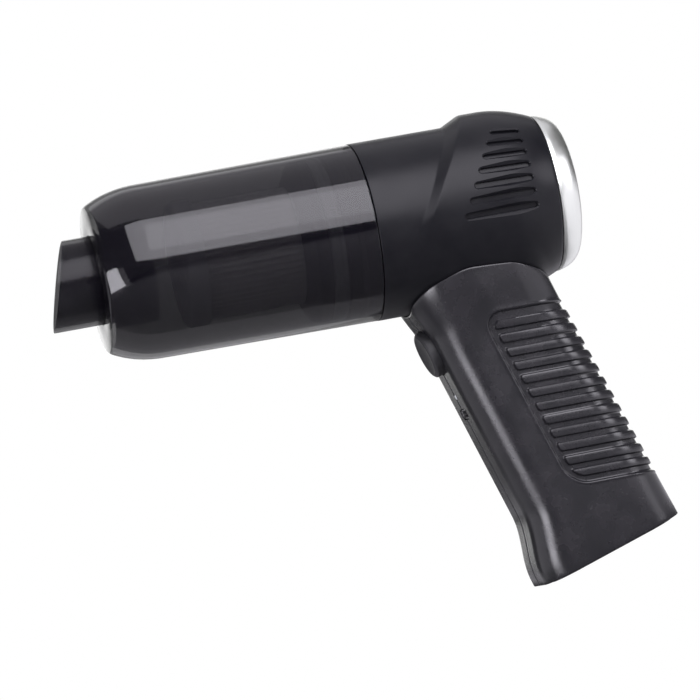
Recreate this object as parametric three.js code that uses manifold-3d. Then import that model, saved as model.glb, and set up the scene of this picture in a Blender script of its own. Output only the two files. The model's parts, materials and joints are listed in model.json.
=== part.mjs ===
// A cordless hand-held car vacuum and blower: a barrel with a smoked dust cup in front and a fan and motor
// behind it, on a pistol handle that holds two battery cells. Millimetres, +Z up, the nozzle towards -X.
// The origin is the middle of the handle's flat base, which it stands on.
import * as THREE from "three";
import { mergeVertices } from "three/addons/utils/BufferGeometryUtils.js";
import Module from "manifold-3d";

const wasm = await Module();
wasm.setup();

// ---------------------------------------------------------------- driving dimensions

// The barrel has a frame of its own: x along its axis with 0 at the joint between cup and housing,
// z towards the top. It is tilted nose up over the handle.
const BARREL_TILT = THREE.MathUtils.degToRad(17);
const BARREL_PLACE = new THREE.Vector3(-23.9, 0, 134.0);
const GAP = 0.3; // between pieces that rest on each other
const SIDES = 32; // facets round the outer pieces
const INNER_SIDES = 20; // facets round the pieces inside
const SMALL_SIDES = 12; // facets round bars and bores
const SCREW_SIDES = 8; // facets round screws, their holes and posts

const CUP = {
  front: -92,
  shoulderEnd: -73.5,
  frontRadius: 24.8,
  shoulderRadius: 29.5,
  rearRadius: 30.2,
  wall: 1.8,
};
const COLLAR = { innerRadius: 15.2, outerRadius: 17, end: -74 };
const NOZZLE = { radius: 15, innerRadius: 13.5, lip: -105, slant: 17.5, turn: 28, spigotEnd: -80 };
const ORING = { x: -86, width: 2, innerRadius: 14.2, outerRadius: 14.95 };

const HOUSING = {
  radius: 30.3,
  innerRadius: 28.3,
  end: 63.5,
  spigotEnd: -11,
  spigotRadius: 28,
  spigotInner: 26.2,
};
const HOOD = { lift: 2.3, radius: 31.2, stepX: 17.5, stepSlope: 0.58, endRadius: 26.9, outletRadius: 24.3 };
const VENTS = {
  count: 7,
  rearEnd: 55,
  longest: 25.5,
  shorten: 2.6,
  width: 1.9,
  depth: 1.3,
  firstAngle: -11,
  pitch: 9.05,
};
const RING = { start: 63.8, end: 71.5, endRadius: 21.5, lipRadius: 20.2, spigotRadius: 24, spigotInner: 22.4 };

const FILTER = {
  front: -64.2,
  capEnd: -57,
  rear: -11.4,
  capRadius: 21.3,
  pleats: 56,
  outer: 19.8,
  inner: 17.2,
};
const MOTOR = { radius: 18, wall: 1.2, front: 18.6, canEnd: 56, bellEnd: 60, shaftRadius: 1.5 };

const HANDLE = {
  front: -21.7,
  rear: 25.2,
  halfWidth: 18,
  frontCorner: 10,
  rearCorner: 12.5,
  wall: 2,
  bottom: 0.4,
  top: 118,
};
const SEAM = 0.15; // half the gap between the two handle shells
const RIBS = { count: 12, pitch: 4.9, height: 0.6, thickness: 3, front: -2.3, firstDepth: -39.9 };

const BUTTON = { z: 87, radius: 8.2, face: -24.7, flangeRadius: 9.5, flange: -19.2 };
const SWITCH = { front: -12.9, rear: -7, halfWidth: 4, halfHeight: 4.5 };
const BOARD = { front: -15.6, rear: -14.2, halfWidth: 8, bottom: 52, top: 75.5 };
const LED = { z: 70, radius: 1 };
const PORT = { z: 63.5, halfWidth: 4.5, halfHeight: 1.65, wall: 0.35, mouth: -21.4 };
const CELL = { radius: 9.1, bottom: 6, length: 65, x: [-4.9, 13.5] };

// Screws that join the handle shells, as x and z in the handle.
const SHELL_SCREWS = [
  { x: -17, z: 14 },
  { x: -17, z: 42 },
  { x: -1, z: 79.5 },
  { x: 16.5, z: 79.5 },
];
const SCREW = { shank: 1, head: 1.9, headHeight: 1.4, length: 14, insert: -8, boss: 2.8 };
const NECK_SCREW = { x: 40, y: 8, shank: 1.3, head: 2.4 };
const WIRE_HOLE = { x: 30, radius: 5 };

// ---------------------------------------------------------------- joining and cutting

function solidOf(geometry) {
  const bare = geometry.clone();
  bare.deleteAttribute("normal");
  bare.deleteAttribute("uv");
  const merged = mergeVertices(bare, 1e-4);
  const corners = merged.index.array;
  const triangles = [];
  for (let i = 0; i < corners.length; i += 3) {
    const [a, b, c] = corners.slice(i, i + 3);
    if (a !== b && b !== c && c !== a) triangles.push(a, b, c);
  }
  const mesh = new wasm.Mesh({
    numProp: 3,
    vertProperties: merged.attributes.position.array,
    triVerts: new Uint32Array(triangles),
  });
  return new wasm.Manifold(mesh);
}

function geometryOf(solid) {
  const mesh = solid.getMesh();
  const indexed = new THREE.BufferGeometry();
  indexed.setAttribute("position", new THREE.BufferAttribute(mesh.vertProperties, 3));
  indexed.setIndex(new THREE.BufferAttribute(mesh.triVerts, 1));
  const geometry = indexed.toNonIndexed();
  geometry.computeVertexNormals();
  return geometry;
}

function join(first, ...others) {
  return others.reduce((whole, piece) => whole.add(piece), first);
}

function cut(whole, ...tools) {
  return tools.reduce((left, tool) => left.subtract(tool), whole);
}

// ---------------------------------------------------------------- basic shapes

// A turned solid round the x axis, from a closed outline of [x, radius] that runs forwards along the outside.
function turned(outline, sides = INNER_SIDES) {
  const points = [...outline, outline[0]].map(([x, radius]) => new THREE.Vector2(radius, x));
  return solidOf(new THREE.LatheGeometry(points, sides).rotateZ(-Math.PI / 2));
}

// A round bar along an axis from one end to the other; place holds its other two coordinates.
function bar(axis, radius, from, to, place = [0, 0], sides = SMALL_SIDES) {
  const geometry = new THREE.CylinderGeometry(radius, radius, to - from, sides);
  const middle = (from + to) / 2;
  if (axis === "x") geometry.rotateZ(-Math.PI / 2).translate(middle, place[0], place[1]);
  if (axis === "y") geometry.translate(place[0], middle, place[1]);
  if (axis === "z") geometry.rotateX(Math.PI / 2).translate(place[0], place[1], middle);
  return solidOf(geometry);
}

// A plain ring along x.
function ringBar(inner, outer, from, to, sides = SMALL_SIDES) {
  return turned([[from, inner], [from, outer], [to, outer], [to, inner]], sides);
}

function block(low, high) {
  const size = high.map((value, axis) => value - low[axis]);
  const middle = high.map((value, axis) => (value + low[axis]) / 2);
  return solidOf(new THREE.BoxGeometry(...size).translate(...middle));
}

function arc(x, y, radius, from, to, steps) {
  const turn = THREE.MathUtils.degToRad;
  return new THREE.EllipseCurve(x, y, radius, radius, turn(from), turn(to), to < from).getPoints(steps);
}

// A flat outline, with holes, as a solid that stands on z = 0.
function extruded(points, depth, holes = []) {
  const shape = new THREE.Shape(points);
  shape.holes = holes.map((hole) => new THREE.Path(hole));
  return new THREE.ExtrudeGeometry(shape, { depth, bevelEnabled: false });
}

// A disc across the barrel with rings of windows between spokes.
function windowedDisc(x, thickness, radius, bore, rings, sides = INNER_SIDES) {
  const holes = [];
  if (bore > 0) holes.push(arc(0, 0, bore, 360, 0, sides).slice(0, -1));
  for (const ring of rings) {
    const pitch = 360 / ring.count;
    for (let i = 0; i < ring.count; i += 1) {
      const from = i * pitch + ring.spoke / 2;
      const to = (i + 1) * pitch - ring.spoke / 2;
      const outer = arc(0, 0, ring.outer, from, to, ring.steps);
      const inner = arc(0, 0, ring.inner, to, from, ring.steps);
      holes.push([...outer, ...inner]);
    }
  }
  const outline = arc(0, 0, radius, 0, 360, sides).slice(0, -1);
  const geometry = extruded(outline, thickness, holes);
  return solidOf(geometry.rotateY(Math.PI / 2).translate(x, 0, 0));
}

// A round lead along a smooth curve through the given points.
function lead(points, radius, steps, sides) {
  const path = new THREE.CatmullRomCurve3(points);
  const section = new THREE.Shape(arc(0, 0, radius, 0, 360, sides).slice(0, -1));
  return solidOf(new THREE.ExtrudeGeometry(section, { steps, extrudePath: path, bevelEnabled: false }));
}

// ---------------------------------------------------------------- materials

function plastic(color, roughness = 0.45) {
  return new THREE.MeshStandardMaterial({ color, roughness, metalness: 0 });
}

function metal(color, roughness = 0.35) {
  return new THREE.MeshStandardMaterial({ color, roughness, metalness: 1 });
}

const SMOKED = new THREE.MeshStandardMaterial({
  color: 0x2a2830,
  roughness: 0.08,
  transparent: true,
  opacity: 0.55,
});
const SATIN_BLACK = plastic(0x151519, 0.35);
const GRAINED_BLACK = plastic(0x2b2a2e, 0.6);
const INNER_BLACK = plastic(0x1c1c1e, 0.6);
const RUBBER = plastic(0x202022, 0.85);
const GREY_GREEN_RUBBER = plastic(0x59615c, 0.8);
const PAPER = plastic(0x8f8d8a, 0.9);
const WHITE_PLASTIC = plastic(0xd8d8d4, 0.5);
const GREEN_BOARD = plastic(0x1f5a38, 0.6);
const CELL_WRAP = plastic(0x2f7fa8, 0.4);
const RED_WIRE = plastic(0xa01818, 0.5);
const BLACK_WIRE = plastic(0x101010, 0.5);
const CLEAR_LENS = plastic(0xcfd6d8, 0.2);
const SILVER = metal(0xc9cacc, 0.3);
const STEEL = metal(0x9a9a9c, 0.35);
const COPPER = metal(0xb0643a, 0.4);
const NICKEL = metal(0xb9b6ac, 0.3);
const MAGNET = plastic(0x333336, 0.7);
const CARBON = plastic(0x1a1a1a, 0.7);

const product = new THREE.Group();
const barrel = new THREE.Group();
barrel.position.copy(BARREL_PLACE);
barrel.rotation.y = BARREL_TILT;
product.add(barrel);
barrel.updateMatrixWorld(true);

function add(group, name, solid, material) {
  const mesh = new THREE.Mesh(geometryOf(solid), material);
  mesh.name = name;
  group.add(mesh);
}

// ---------------------------------------------------------------- nozzle and dust cup

// The inlet nozzle is a plain tube whose mouth is cut at a slant and turned a little about the axis. Behind the
// cup's front face it steps down to a spigot with a groove for its O-ring.
function nozzleSolid() {
  const step = CUP.front - GAP;
  const spigot = ORING.outerRadius - 0.1;
  const grooveFront = ORING.x - ORING.width / 2 - GAP;
  const grooveRear = ORING.x + ORING.width / 2 + GAP;
  const tube = turned([
    [-116, NOZZLE.innerRadius],
    [-116, NOZZLE.radius],
    [step, NOZZLE.radius],
    [step, spigot],
    [grooveFront, spigot],
    [grooveFront, ORING.innerRadius - GAP / 2],
    [grooveRear, ORING.innerRadius - GAP / 2],
    [grooveRear, spigot],
    [NOZZLE.spigotEnd, spigot],
    [NOZZLE.spigotEnd, NOZZLE.innerRadius - 0.7],
    [step, NOZZLE.innerRadius - 0.7],
    [step - 1, NOZZLE.innerRadius],
  ], SIDES);
  const slant = new THREE.BoxGeometry(40, 80, 80)
    .translate(-20, 0, 0)
    .rotateY(THREE.MathUtils.degToRad(NOZZLE.slant))
    .rotateX(-THREE.MathUtils.degToRad(NOZZLE.turn))
    .translate(NOZZLE.lip, 0, 0);
  return cut(tube, solidOf(slant));
}

function shoulder(front, frontRadius, radius) {
  const middle = new THREE.Vector2(front + 8, radius);
  const end = new THREE.Vector2(CUP.shoulderEnd, radius);
  const curve = new THREE.QuadraticBezierCurve(new THREE.Vector2(front, frontRadius), middle, end);
  return curve.getPoints(5).map((point) => [point.x, point.y]);
}

// The dust cup is a thin jar with a rounded shoulder. A collar runs back from its front wall and holds the
// nozzle.
function dustCupSolid() {
  const outside = shoulder(CUP.front, CUP.frontRadius, CUP.shoulderRadius);
  const inside = shoulder(CUP.front + CUP.wall, CUP.frontRadius - CUP.wall, CUP.shoulderRadius - CUP.wall);
  return turned([
    [CUP.front, COLLAR.innerRadius],
    ...outside,
    [-GAP, CUP.rearRadius],
    [-GAP, CUP.rearRadius - CUP.wall],
    ...inside.reverse(),
    [CUP.front + CUP.wall, COLLAR.outerRadius],
    [COLLAR.end, COLLAR.outerRadius],
    [COLLAR.end, COLLAR.innerRadius],
  ], SIDES);
}

add(barrel, "inlet_nozzle", nozzleSolid(), SMOKED);
add(
  barrel,
  "nozzle_oring",
  ringBar(ORING.innerRadius, ORING.outerRadius, ORING.x - ORING.width / 2, ORING.x + ORING.width / 2, SIDES),
  RUBBER,
);
add(barrel, "dust_cup", dustCupSolid(), SMOKED);

// ---------------------------------------------------------------- filter cartridge

// A pleated paper ring, drawn as a star with a round hole and laid along the barrel.
function pleatSolid(from, to) {
  const star = [];
  for (let i = 0; i < FILTER.pleats * 2; i += 1) {
    const angle = (i * Math.PI) / FILTER.pleats;
    const radius = i % 2 ? FILTER.outer - 1.8 : FILTER.outer;
    star.push(new THREE.Vector2(radius * Math.cos(angle), radius * Math.sin(angle)));
  }
  const hole = arc(0, 0, FILTER.inner, 360, 0, SMALL_SIDES);
  const geometry = extruded(star, to - from, [hole.slice(0, -1)]);
  return solidOf(geometry.rotateY(Math.PI / 2).translate(from, 0, 0));
}

// The end cap closes the pleats in front with a shallow dish in its face.
function endCapSolid() {
  const { front, capEnd, capRadius } = FILTER;
  return turned([
    [front + 1.5, 0],
    [front + 1.5, capRadius - 5],
    [front, capRadius - 4],
    [front, capRadius - 1],
    [front + 1, capRadius],
    [capEnd, capRadius],
    [capEnd, capRadius - 1],
    [front + 3, capRadius - 1],
    [front + 3, 0],
  ]);
}

// The frame is a perforated inner tube with a wide flange that seats against the housing's spigot.
const FRAME = {
  tubeOuter: 16.6,
  tubeInner: 15.2,
  tubeFront: -60.8,
  flangeFront: -22.4,
  flangeRear: -16.4,
  rim: 27.6,
};

function filterFrameSolid() {
  const { tubeOuter, tubeInner, tubeFront, flangeFront, flangeRear, rim } = FRAME;
  const body = turned([
    [tubeFront, tubeInner],
    [tubeFront, tubeOuter],
    [flangeFront + 1.8, tubeOuter],
    [flangeFront + 1.8, FILTER.outer + GAP],
    [flangeFront - 2, FILTER.outer + GAP],
    [flangeFront - 2, FILTER.outer + 1.6],
    [flangeFront + 1.5, rim],
    [flangeRear, rim],
    [flangeRear, tubeInner],
  ]);
  const windows = [];
  const windowLength = 30;
  const windowMiddle = (tubeFront + flangeFront) / 2;
  for (const angle of [0, 45, 90, 135]) {
    const slot = new THREE.BoxGeometry(windowLength, 6, 4 * tubeOuter);
    windows.push(solidOf(slot.rotateX(THREE.MathUtils.degToRad(angle)).translate(windowMiddle, 0, 0)));
  }
  const tubeOnly = ringBar(0.5, tubeOuter + GAP / 2, tubeFront - 1, flangeFront);
  return cut(body, ...windows.map((slot) => slot.intersect(tubeOnly)));
}

add(barrel, "filter_end_cap", endCapSolid(), INNER_BLACK);
add(barrel, "filter_pleats", pleatSolid(FILTER.front + 3 + GAP, FRAME.flangeFront + 1.5), PAPER);
add(barrel, "filter_frame", filterFrameSolid(), INNER_BLACK);
const gasket = ringBar(24, 27.9, FRAME.flangeRear + GAP, FILTER.rear, INNER_SIDES);
add(barrel, "filter_gasket", gasket, GREY_GREEN_RUBBER);

// ---------------------------------------------------------------- motor housing

// The outside of the housing, grown by a margin: a straight round front, and a hood whose axis is lifted a little,
// so that it stands proud of the front at the top and sides and starts at a slanted step.
function housingOutside(margin) {
  const taper = [
    [46, 0],
    [50, 0.3],
    [54, 0.9],
    [59, 2.3],
    [HOUSING.end, HOOD.radius - HOOD.endRadius],
  ];
  const front = turned([
    [0, 0],
    [0, HOUSING.radius + margin],
    ...taper.map(([x, drop]) => [x, HOUSING.radius + margin - drop * 1.5]),
    [HOUSING.end, 0],
  ], SIDES);
  const hood = turned([
    [0, 0],
    [0, HOOD.radius + margin],
    ...taper.map(([x, drop]) => [x, HOOD.radius + margin - drop]),
    [HOUSING.end, 0],
  ], SIDES);
  const lifted = solidOf(geometryOf(hood).translate(0, 0, HOOD.lift));
  const behindStep = new THREE.BoxGeometry(140, 140, 140)
    .translate(70, 0, 0)
    .rotateY(Math.atan(HOOD.stepSlope))
    .translate(HOOD.stepX, 0, 0);
  return join(front, lifted.intersect(solidOf(behindStep)));
}

// One vent is a shallow blind slot with round ends along the barrel, at its angle round the axis.
function ventCutter(index, side) {
  const length = VENTS.longest - VENTS.shorten * index;
  const angle = VENTS.firstAngle + VENTS.pitch * index;
  const end = VENTS.width / 2;
  const outline = [
    ...arc(VENTS.rearEnd - end, 0, end, -90, 90, 2),
    ...arc(VENTS.rearEnd - length + end, 0, end, 90, 270, 2),
  ];
  const slot = extruded(outline, 12).translate(0, 0, HOOD.radius - VENTS.depth);
  return solidOf(slot.rotateX(THREE.MathUtils.degToRad(side * (90 - angle))).translate(0, 0, HOOD.lift));
}

function housingSolid() {
  const { innerRadius, spigotEnd, spigotRadius, spigotInner, end } = HOUSING;
  const spigot = turned([
    [spigotEnd, spigotInner],
    [spigotEnd, spigotRadius],
    [-7, spigotRadius],
    [-7, spigotRadius - 0.9],
    [-4.6, spigotRadius - 0.9],
    [-4.6, spigotRadius],
    [0.5, spigotRadius],
    [0.5, spigotInner],
  ], SIDES);
  const cavity = turned([
    [-1, 0],
    [-1, spigotInner],
    [1, spigotInner],
    [1.6, innerRadius],
    [46, innerRadius],
    [50, innerRadius - 0.6],
    [57, innerRadius - 2.4],
    [57, 0],
  ], SIDES);
  const outlet = turned([[56, 0], [56, HOOD.outletRadius], [end + 1, HOOD.outletRadius], [end + 1, 0]], SIDES);
  const cutters = [cavity, solidOf(geometryOf(outlet).translate(0, 0, HOOD.lift))];
  for (let i = 0; i < VENTS.count; i += 1) {
    cutters.push(ventCutter(i, 1), ventCutter(i, -1));
  }
  cutters.push(bar("z", WIRE_HOLE.radius, -34, -20, [WIRE_HOLE.x, 0]));
  for (const side of [-1, 1]) {
    cutters.push(bar("z", NECK_SCREW.shank + GAP, -34, -20, [NECK_SCREW.x, side * NECK_SCREW.y], SCREW_SIDES));
  }
  return join(cut(housingOutside(0), ...cutters), spigot);
}

add(barrel, "motor_housing", housingSolid(), SATIN_BLACK);
add(barrel, "cup_seal", ringBar(27.25, 28.15, -6.7, -4.9, SIDES), RUBBER);

// ---------------------------------------------------------------- silver ring and outlet grille

// A convex ring closes the back of the housing round the outlet; its spigot plugs into the housing.
function silverRingSolid() {
  const start = new THREE.Vector2(RING.start, HOOD.endRadius);
  const bulge = new THREE.Vector2(RING.end - 0.6, HOOD.endRadius - 1.2);
  const end = new THREE.Vector2(RING.end, RING.endRadius);
  const crown = new THREE.QuadraticBezierCurve(start, bulge, end).getPoints(4).map((point) => [point.x, point.y]);
  return turned([
    [60, RING.spigotInner],
    [60, RING.spigotRadius],
    [RING.start, RING.spigotRadius],
    ...crown,
    [RING.end - 0.4, RING.lipRadius],
    [RING.start + 3.2, RING.lipRadius],
    [RING.start + 3.2, RING.spigotInner],
  ], SIDES);
}

const rearGroup = new THREE.Group();
rearGroup.position.z = HOOD.lift;
barrel.add(rearGroup);
add(rearGroup, "silver_ring", silverRingSolid(), SILVER);
const GRILLE_RINGS = [
  { inner: 5, outer: 11, count: 4, spoke: 16, steps: 3 },
  { inner: 13, outer: 19.6, count: 8, spoke: 8, steps: 2 },
];
add(rearGroup, "outlet_grille", windowedDisc(64.4, 2.2, RING.spigotInner - GAP, 0, GRILLE_RINGS), INNER_BLACK);

// ---------------------------------------------------------------- fan

const INTAKE_RINGS = [
  { inner: 6, outer: 14, count: 4, spoke: 14, steps: 3 },
  { inner: 16, outer: 23.5, count: 8, spoke: 8, steps: 2 },
];
add(barrel, "intake_grille", windowedDisc(-10.6, 1.6, HOUSING.spigotInner - GAP, 0, INTAKE_RINGS), INNER_BLACK);

// The shroud guides the air from a round eye into the impeller and round its rim.
function shroudSolid() {
  return turned([
    [-2.6, 10.5],
    [-2.6, 12.2],
    [-0.8, 13.4],
    [1.9, 25.2],
    [2.4, HOUSING.innerRadius - GAP],
    [15.4, HOUSING.innerRadius - GAP],
    [15.4, HOUSING.innerRadius - 1.6],
    [3.6, HOUSING.innerRadius - 1.6],
    [3.0, 24.6],
    [0.2, 12.4],
    [-1.2, 10.5],
  ]);
}

// The impeller is a disc with swept blades and a hub on the motor's shaft.
const IMPELLER = { rim: 23.5, eye: 8, back: 12.6, bladeFront: 5, blades: 7, sweep: 50, hub: 4.5, disc: 1.3 };

function bladeSolid(index) {
  const steps = 4;
  const edge = (side) => {
    const points = [];
    for (let i = 0; i <= steps; i += 1) {
      const along = i / steps;
      const radius = IMPELLER.eye - 2 + along * (IMPELLER.rim - IMPELLER.eye + 2);
      const start = (index * 2 * Math.PI) / IMPELLER.blades;
      const angle = start - THREE.MathUtils.degToRad(IMPELLER.sweep) * along + (side * 0.6) / radius;
      points.push(new THREE.Vector2(radius * Math.cos(angle), radius * Math.sin(angle)));
    }
    return points;
  };
  const outline = [...edge(-1), ...edge(1).reverse()];
  const depth = IMPELLER.back - IMPELLER.bladeFront + IMPELLER.disc / 2;
  return solidOf(extruded(outline, depth).rotateY(Math.PI / 2).translate(IMPELLER.bladeFront, 0, 0));
}

function impellerSolid() {
  const { back, disc, rim, hub, bladeFront } = IMPELLER;
  const plate = turned([[back, 0], [back, rim], [back + disc, rim], [back + disc, 0]]);
  const bossEnd = back + disc + 1.5;
  const boss = turned([[bladeFront - 2, 0], [bladeFront, hub], [bossEnd, hub], [bossEnd, 0]]);
  const blades = Array.from({ length: IMPELLER.blades }, (_, index) => bladeSolid(index));
  const bore = bar("x", MOTOR.shaftRadius + 0.2, bladeFront - 4, back + 6, [0, 0], 16);
  return cut(join(plate, boss, ...blades), bore);
}

add(barrel, "fan_shroud", shroudSolid(), INNER_BLACK);
add(barrel, "impeller", impellerSolid(), WHITE_PLASTIC);

// ---------------------------------------------------------------- motor and its supports

// The diffuser closes the back of the fan chamber, carries the motor on two screws, and lets the air past it.
const MOTOR_SCREW_Y = 8;

function diffuserSolid() {
  const windows = [{ inner: 20, outer: 26, count: 8, spoke: 10, steps: 2 }];
  const disc = windowedDisc(15.8, 2.5, HOUSING.innerRadius - GAP, 5.5, windows);
  const holes = [-1, 1].map((side) => bar("x", 1.6, 15, 19, [side * MOTOR_SCREW_Y, 0], SCREW_SIDES));
  return cut(disc, ...holes);
}

function motorCanSolid() {
  const { front, radius, wall, canEnd } = MOTOR;
  const can = turned([
    [front, 3.4],
    [front, radius - 1],
    [front + 1, radius],
    [canEnd, radius],
    [canEnd, radius - wall],
    [front + 2, radius - wall],
    [front + 2, 6.4],
    [front + 4.4, 6.4],
    [front + 4.4, 5.2],
    [front + 0.8, 5.2],
    [front + 0.8, 3.4],
  ]);
  const holes = [-1, 1].map((side) =>
    bar("x", 1.1, front - 1, front + 3, [side * MOTOR_SCREW_Y, 0], SCREW_SIDES),
  );
  return cut(can, ...holes);
}

function endBellSolid() {
  const { radius, canEnd, bellEnd } = MOTOR;
  return turned([
    [canEnd - 3, radius - 2.9],
    [canEnd - 3, radius - 1.5],
    [canEnd + GAP, radius - 1.5],
    [canEnd + GAP, radius],
    [bellEnd - 1, radius],
    [bellEnd, radius - 1],
    [bellEnd, 2.2],
    [bellEnd - 0.8, 2.2],
    [bellEnd - 0.8, 5.2],
    [canEnd - 0.8, 5.2],
    [canEnd - 0.8, 6.6],
    [canEnd + 1.2, 6.6],
    [canEnd + 1.2, radius - 2.9],
  ]);
}

// One field magnet is a curved tile inside the can.
function magnetSolid(middleAngle) {
  const half = 62;
  const outline = [
    ...arc(0, 0, MOTOR.radius - MOTOR.wall - GAP, middleAngle - half, middleAngle + half, 10),
    ...arc(0, 0, MOTOR.radius - MOTOR.wall - 2.6, middleAngle + half, middleAngle - half, 10),
  ];
  return solidOf(extruded(outline, 26).rotateY(Math.PI / 2).translate(25, 0, 0));
}

// The armature has three poles on the shaft.
function armatureSolid() {
  const poles = 3;
  const head = 13.4;
  let body = bar("x", 5, 27, 49);
  for (let i = 0; i < poles; i += 1) {
    const middle = (i * 360) / poles;
    const outline = [
      ...arc(0, 0, head, middle - 50, middle + 50, 5),
      ...arc(0, 0, head - 3, middle + 50, middle - 50, 5),
    ];
    const shoe = solidOf(extruded(outline, 22).rotateY(Math.PI / 2).translate(27, 0, 0));
    const web = new THREE.BoxGeometry(22, 5.5, head - 3).translate(38, 0, (head - 1) / 2);
    const turn = THREE.MathUtils.degToRad(middle + 90);
    body = join(body, shoe, solidOf(web.rotateX(turn)));
  }
  return cut(body, bar("x", MOTOR.shaftRadius + 0.2, 20, 60, [0, 0], 16));
}

function rotorRing(outer, from, to) {
  return ringBar(MOTOR.shaftRadius + 0.2, outer, from, to);
}

const CLEAR_OF_COMMUTATOR = 0.3;
const COMMUTATOR_RADIUS = 4;

function brushSolid(side) {
  const near = COMMUTATOR_RADIUS + CLEAR_OF_COMMUTATOR;
  const ends = [side * near, side * (near + 5)].sort((a, b) => a - b);
  return block([51, ends[0], -1.8], [54, ends[1], 1.8]);
}

// A bracket behind the motor holds it in the housing through a rubber ring.
const BRACKET = { x: 50.5, thickness: 3, bore: 20.4, rim: 26.3 };
const BRACKET_WINDOWS = [{ inner: 21.8, outer: 25.4, count: 6, spoke: 20, steps: 2 }];

function screwAlongX(headFrom, headTo, tip, y) {
  const head = bar("x", 2.4, headFrom, headTo, [y, 0], SCREW_SIDES);
  const shank = bar("x", 0.95, headTo - 0.2, tip, [y, 0], SCREW_SIDES);
  return join(head, shank);
}

add(barrel, "diffuser_plate", diffuserSolid(), INNER_BLACK);
add(barrel, "motor_can", motorCanSolid(), STEEL);
add(barrel, "motor_end_bell", endBellSolid(), WHITE_PLASTIC);
add(barrel, "magnet_top", magnetSolid(90), MAGNET);
add(barrel, "magnet_bottom", magnetSolid(270), MAGNET);
add(barrel, "motor_shaft", bar("x", MOTOR.shaftRadius, 2.6, 62, [0, 0], 16), STEEL);
add(barrel, "armature", armatureSolid(), COPPER);
add(barrel, "commutator", rotorRing(COMMUTATOR_RADIUS, 50, 54.6), COPPER);
add(barrel, "front_bearing", rotorRing(4.9, MOTOR.front + 1.1, MOTOR.front + 4.2), STEEL);
add(barrel, "rear_bearing", rotorRing(4.9, MOTOR.canEnd - 0.4, MOTOR.bellEnd - 1.1), STEEL);
add(barrel, "brush_left", brushSolid(-1), CARBON);
add(barrel, "brush_right", brushSolid(1), CARBON);
add(barrel, "motor_screw_left", screwAlongX(14.3, 15.6, 20.4, -MOTOR_SCREW_Y), STEEL);
add(barrel, "motor_screw_right", screwAlongX(14.3, 15.6, 20.4, MOTOR_SCREW_Y), STEEL);
const bracket = windowedDisc(BRACKET.x, BRACKET.thickness, BRACKET.rim, BRACKET.bore, BRACKET_WINDOWS);
add(barrel, "motor_bracket", bracket, INNER_BLACK);
add(barrel, "motor_damper_ring", ringBar(MOTOR.radius + GAP, 19.9, 49.5, 54.5, INNER_SIDES), RUBBER);

// ---------------------------------------------------------------- handle shells

function ramp(value, from, to) {
  return THREE.MathUtils.smoothstep(value, Math.min(from, to), Math.max(from, to));
}

// The handle's plan is a rounded rectangle, moved outwards by a margin, with the nearly flat face in front.
function handlePlan(margin) {
  const { front, rear, halfWidth, frontCorner, rearCorner } = HANDLE;
  const frontRadius = frontCorner + margin;
  const rearRadius = rearCorner + margin;
  const frontX = front + frontCorner;
  const rearX = rear - rearCorner;
  return [
    ...arc(rearX, halfWidth - rearCorner, rearRadius, 0, 90, 4),
    ...arc(frontX, halfWidth - frontCorner, frontRadius, 90, 180, 3),
    ...arc(frontX, frontCorner - halfWidth, frontRadius, 180, 270, 3),
    ...arc(rearX, rearCorner - halfWidth, rearRadius, 270, 360, 4),
  ];
}

// How the plan changes with height: the front flares into a toe at the base and into the barrel at the neck,
// the back leans a little, and the sides widen into the barrel, less so at the front corners.
const TOE = { top: 25, bottom: 3, flare: 4.5 };
const NECK = { start: 90, end: 106, flare: 2, widenFrom: 78, widenTo: 108, widen: 5.8 };
const FRONT_WIDEN = { share: 0.15, from: -21, to: 1 };
const LEAN = { atBase: 1.1, perHeight: -0.021 };

function shapedAt(x, y, z) {
  const toe = -TOE.flare * (1 - ramp(z, TOE.bottom, TOE.top));
  const neck = -NECK.flare * ramp(z, NECK.start, NECK.end);
  const lean = LEAN.atBase + LEAN.perHeight * z;
  const backShare = THREE.MathUtils.clamp((x - HANDLE.front) / (HANDLE.rear - HANDLE.front), 0, 1);
  const { share, from, to } = FRONT_WIDEN;
  const widenShare = share + (1 - share) * ramp(x, from, to);
  const widen = NECK.widen * ramp(z, NECK.widenFrom, NECK.widenTo) * widenShare;
  return [x + (toe + neck) * (1 - backShare) + lean * backShare, y * (1 + widen / HANDLE.halfWidth)];
}

function handleSolid(margin, levels) {
  const shape = new THREE.Shape(handlePlan(margin));
  const steps = levels.length - 1;
  const geometry = new THREE.ExtrudeGeometry(shape, { depth: steps, steps, bevelEnabled: false });
  const position = geometry.attributes.position;
  for (let i = 0; i < position.count; i += 1) {
    const z = levels[Math.round(position.getZ(i))];
    const [x, y] = shapedAt(position.getX(i), position.getY(i), z);
    position.setXYZ(i, x, y, z);
  }
  return solidOf(geometry);
}

// Raised grip bars run round the sides and back, parallel to the barrel.
function ribSolids() {
  const grown = handleSolid(RIBS.height, [8, 78, 87, 96]);
  return Array.from({ length: RIBS.count }, (_, index) => {
    const depth = RIBS.firstDepth - RIBS.pitch * index;
    const slab = new THREE.BoxGeometry(120, 60, RIBS.thickness)
      .translate(60, 0, depth)
      .applyMatrix4(barrel.matrixWorld);
    const behindFront = block([RIBS.front, -40, 0], [60, 40, 130]);
    return grown.intersect(solidOf(slab)).intersect(behindFront);
  });
}

function handleBody(barrelSpace) {
  const outside = handleSolid(0, [HANDLE.bottom, 5, 10, 16, 24, 78, 86, 93, 100, 108, HANDLE.top]);
  const inside = handleSolid(-HANDLE.wall, [-1, 5, 14, 24, 78, 86, 93, 100, 108, HANDLE.top + 1]);
  return cut(join(outside, ...ribSolids()), inside, barrelSpace);
}

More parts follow.
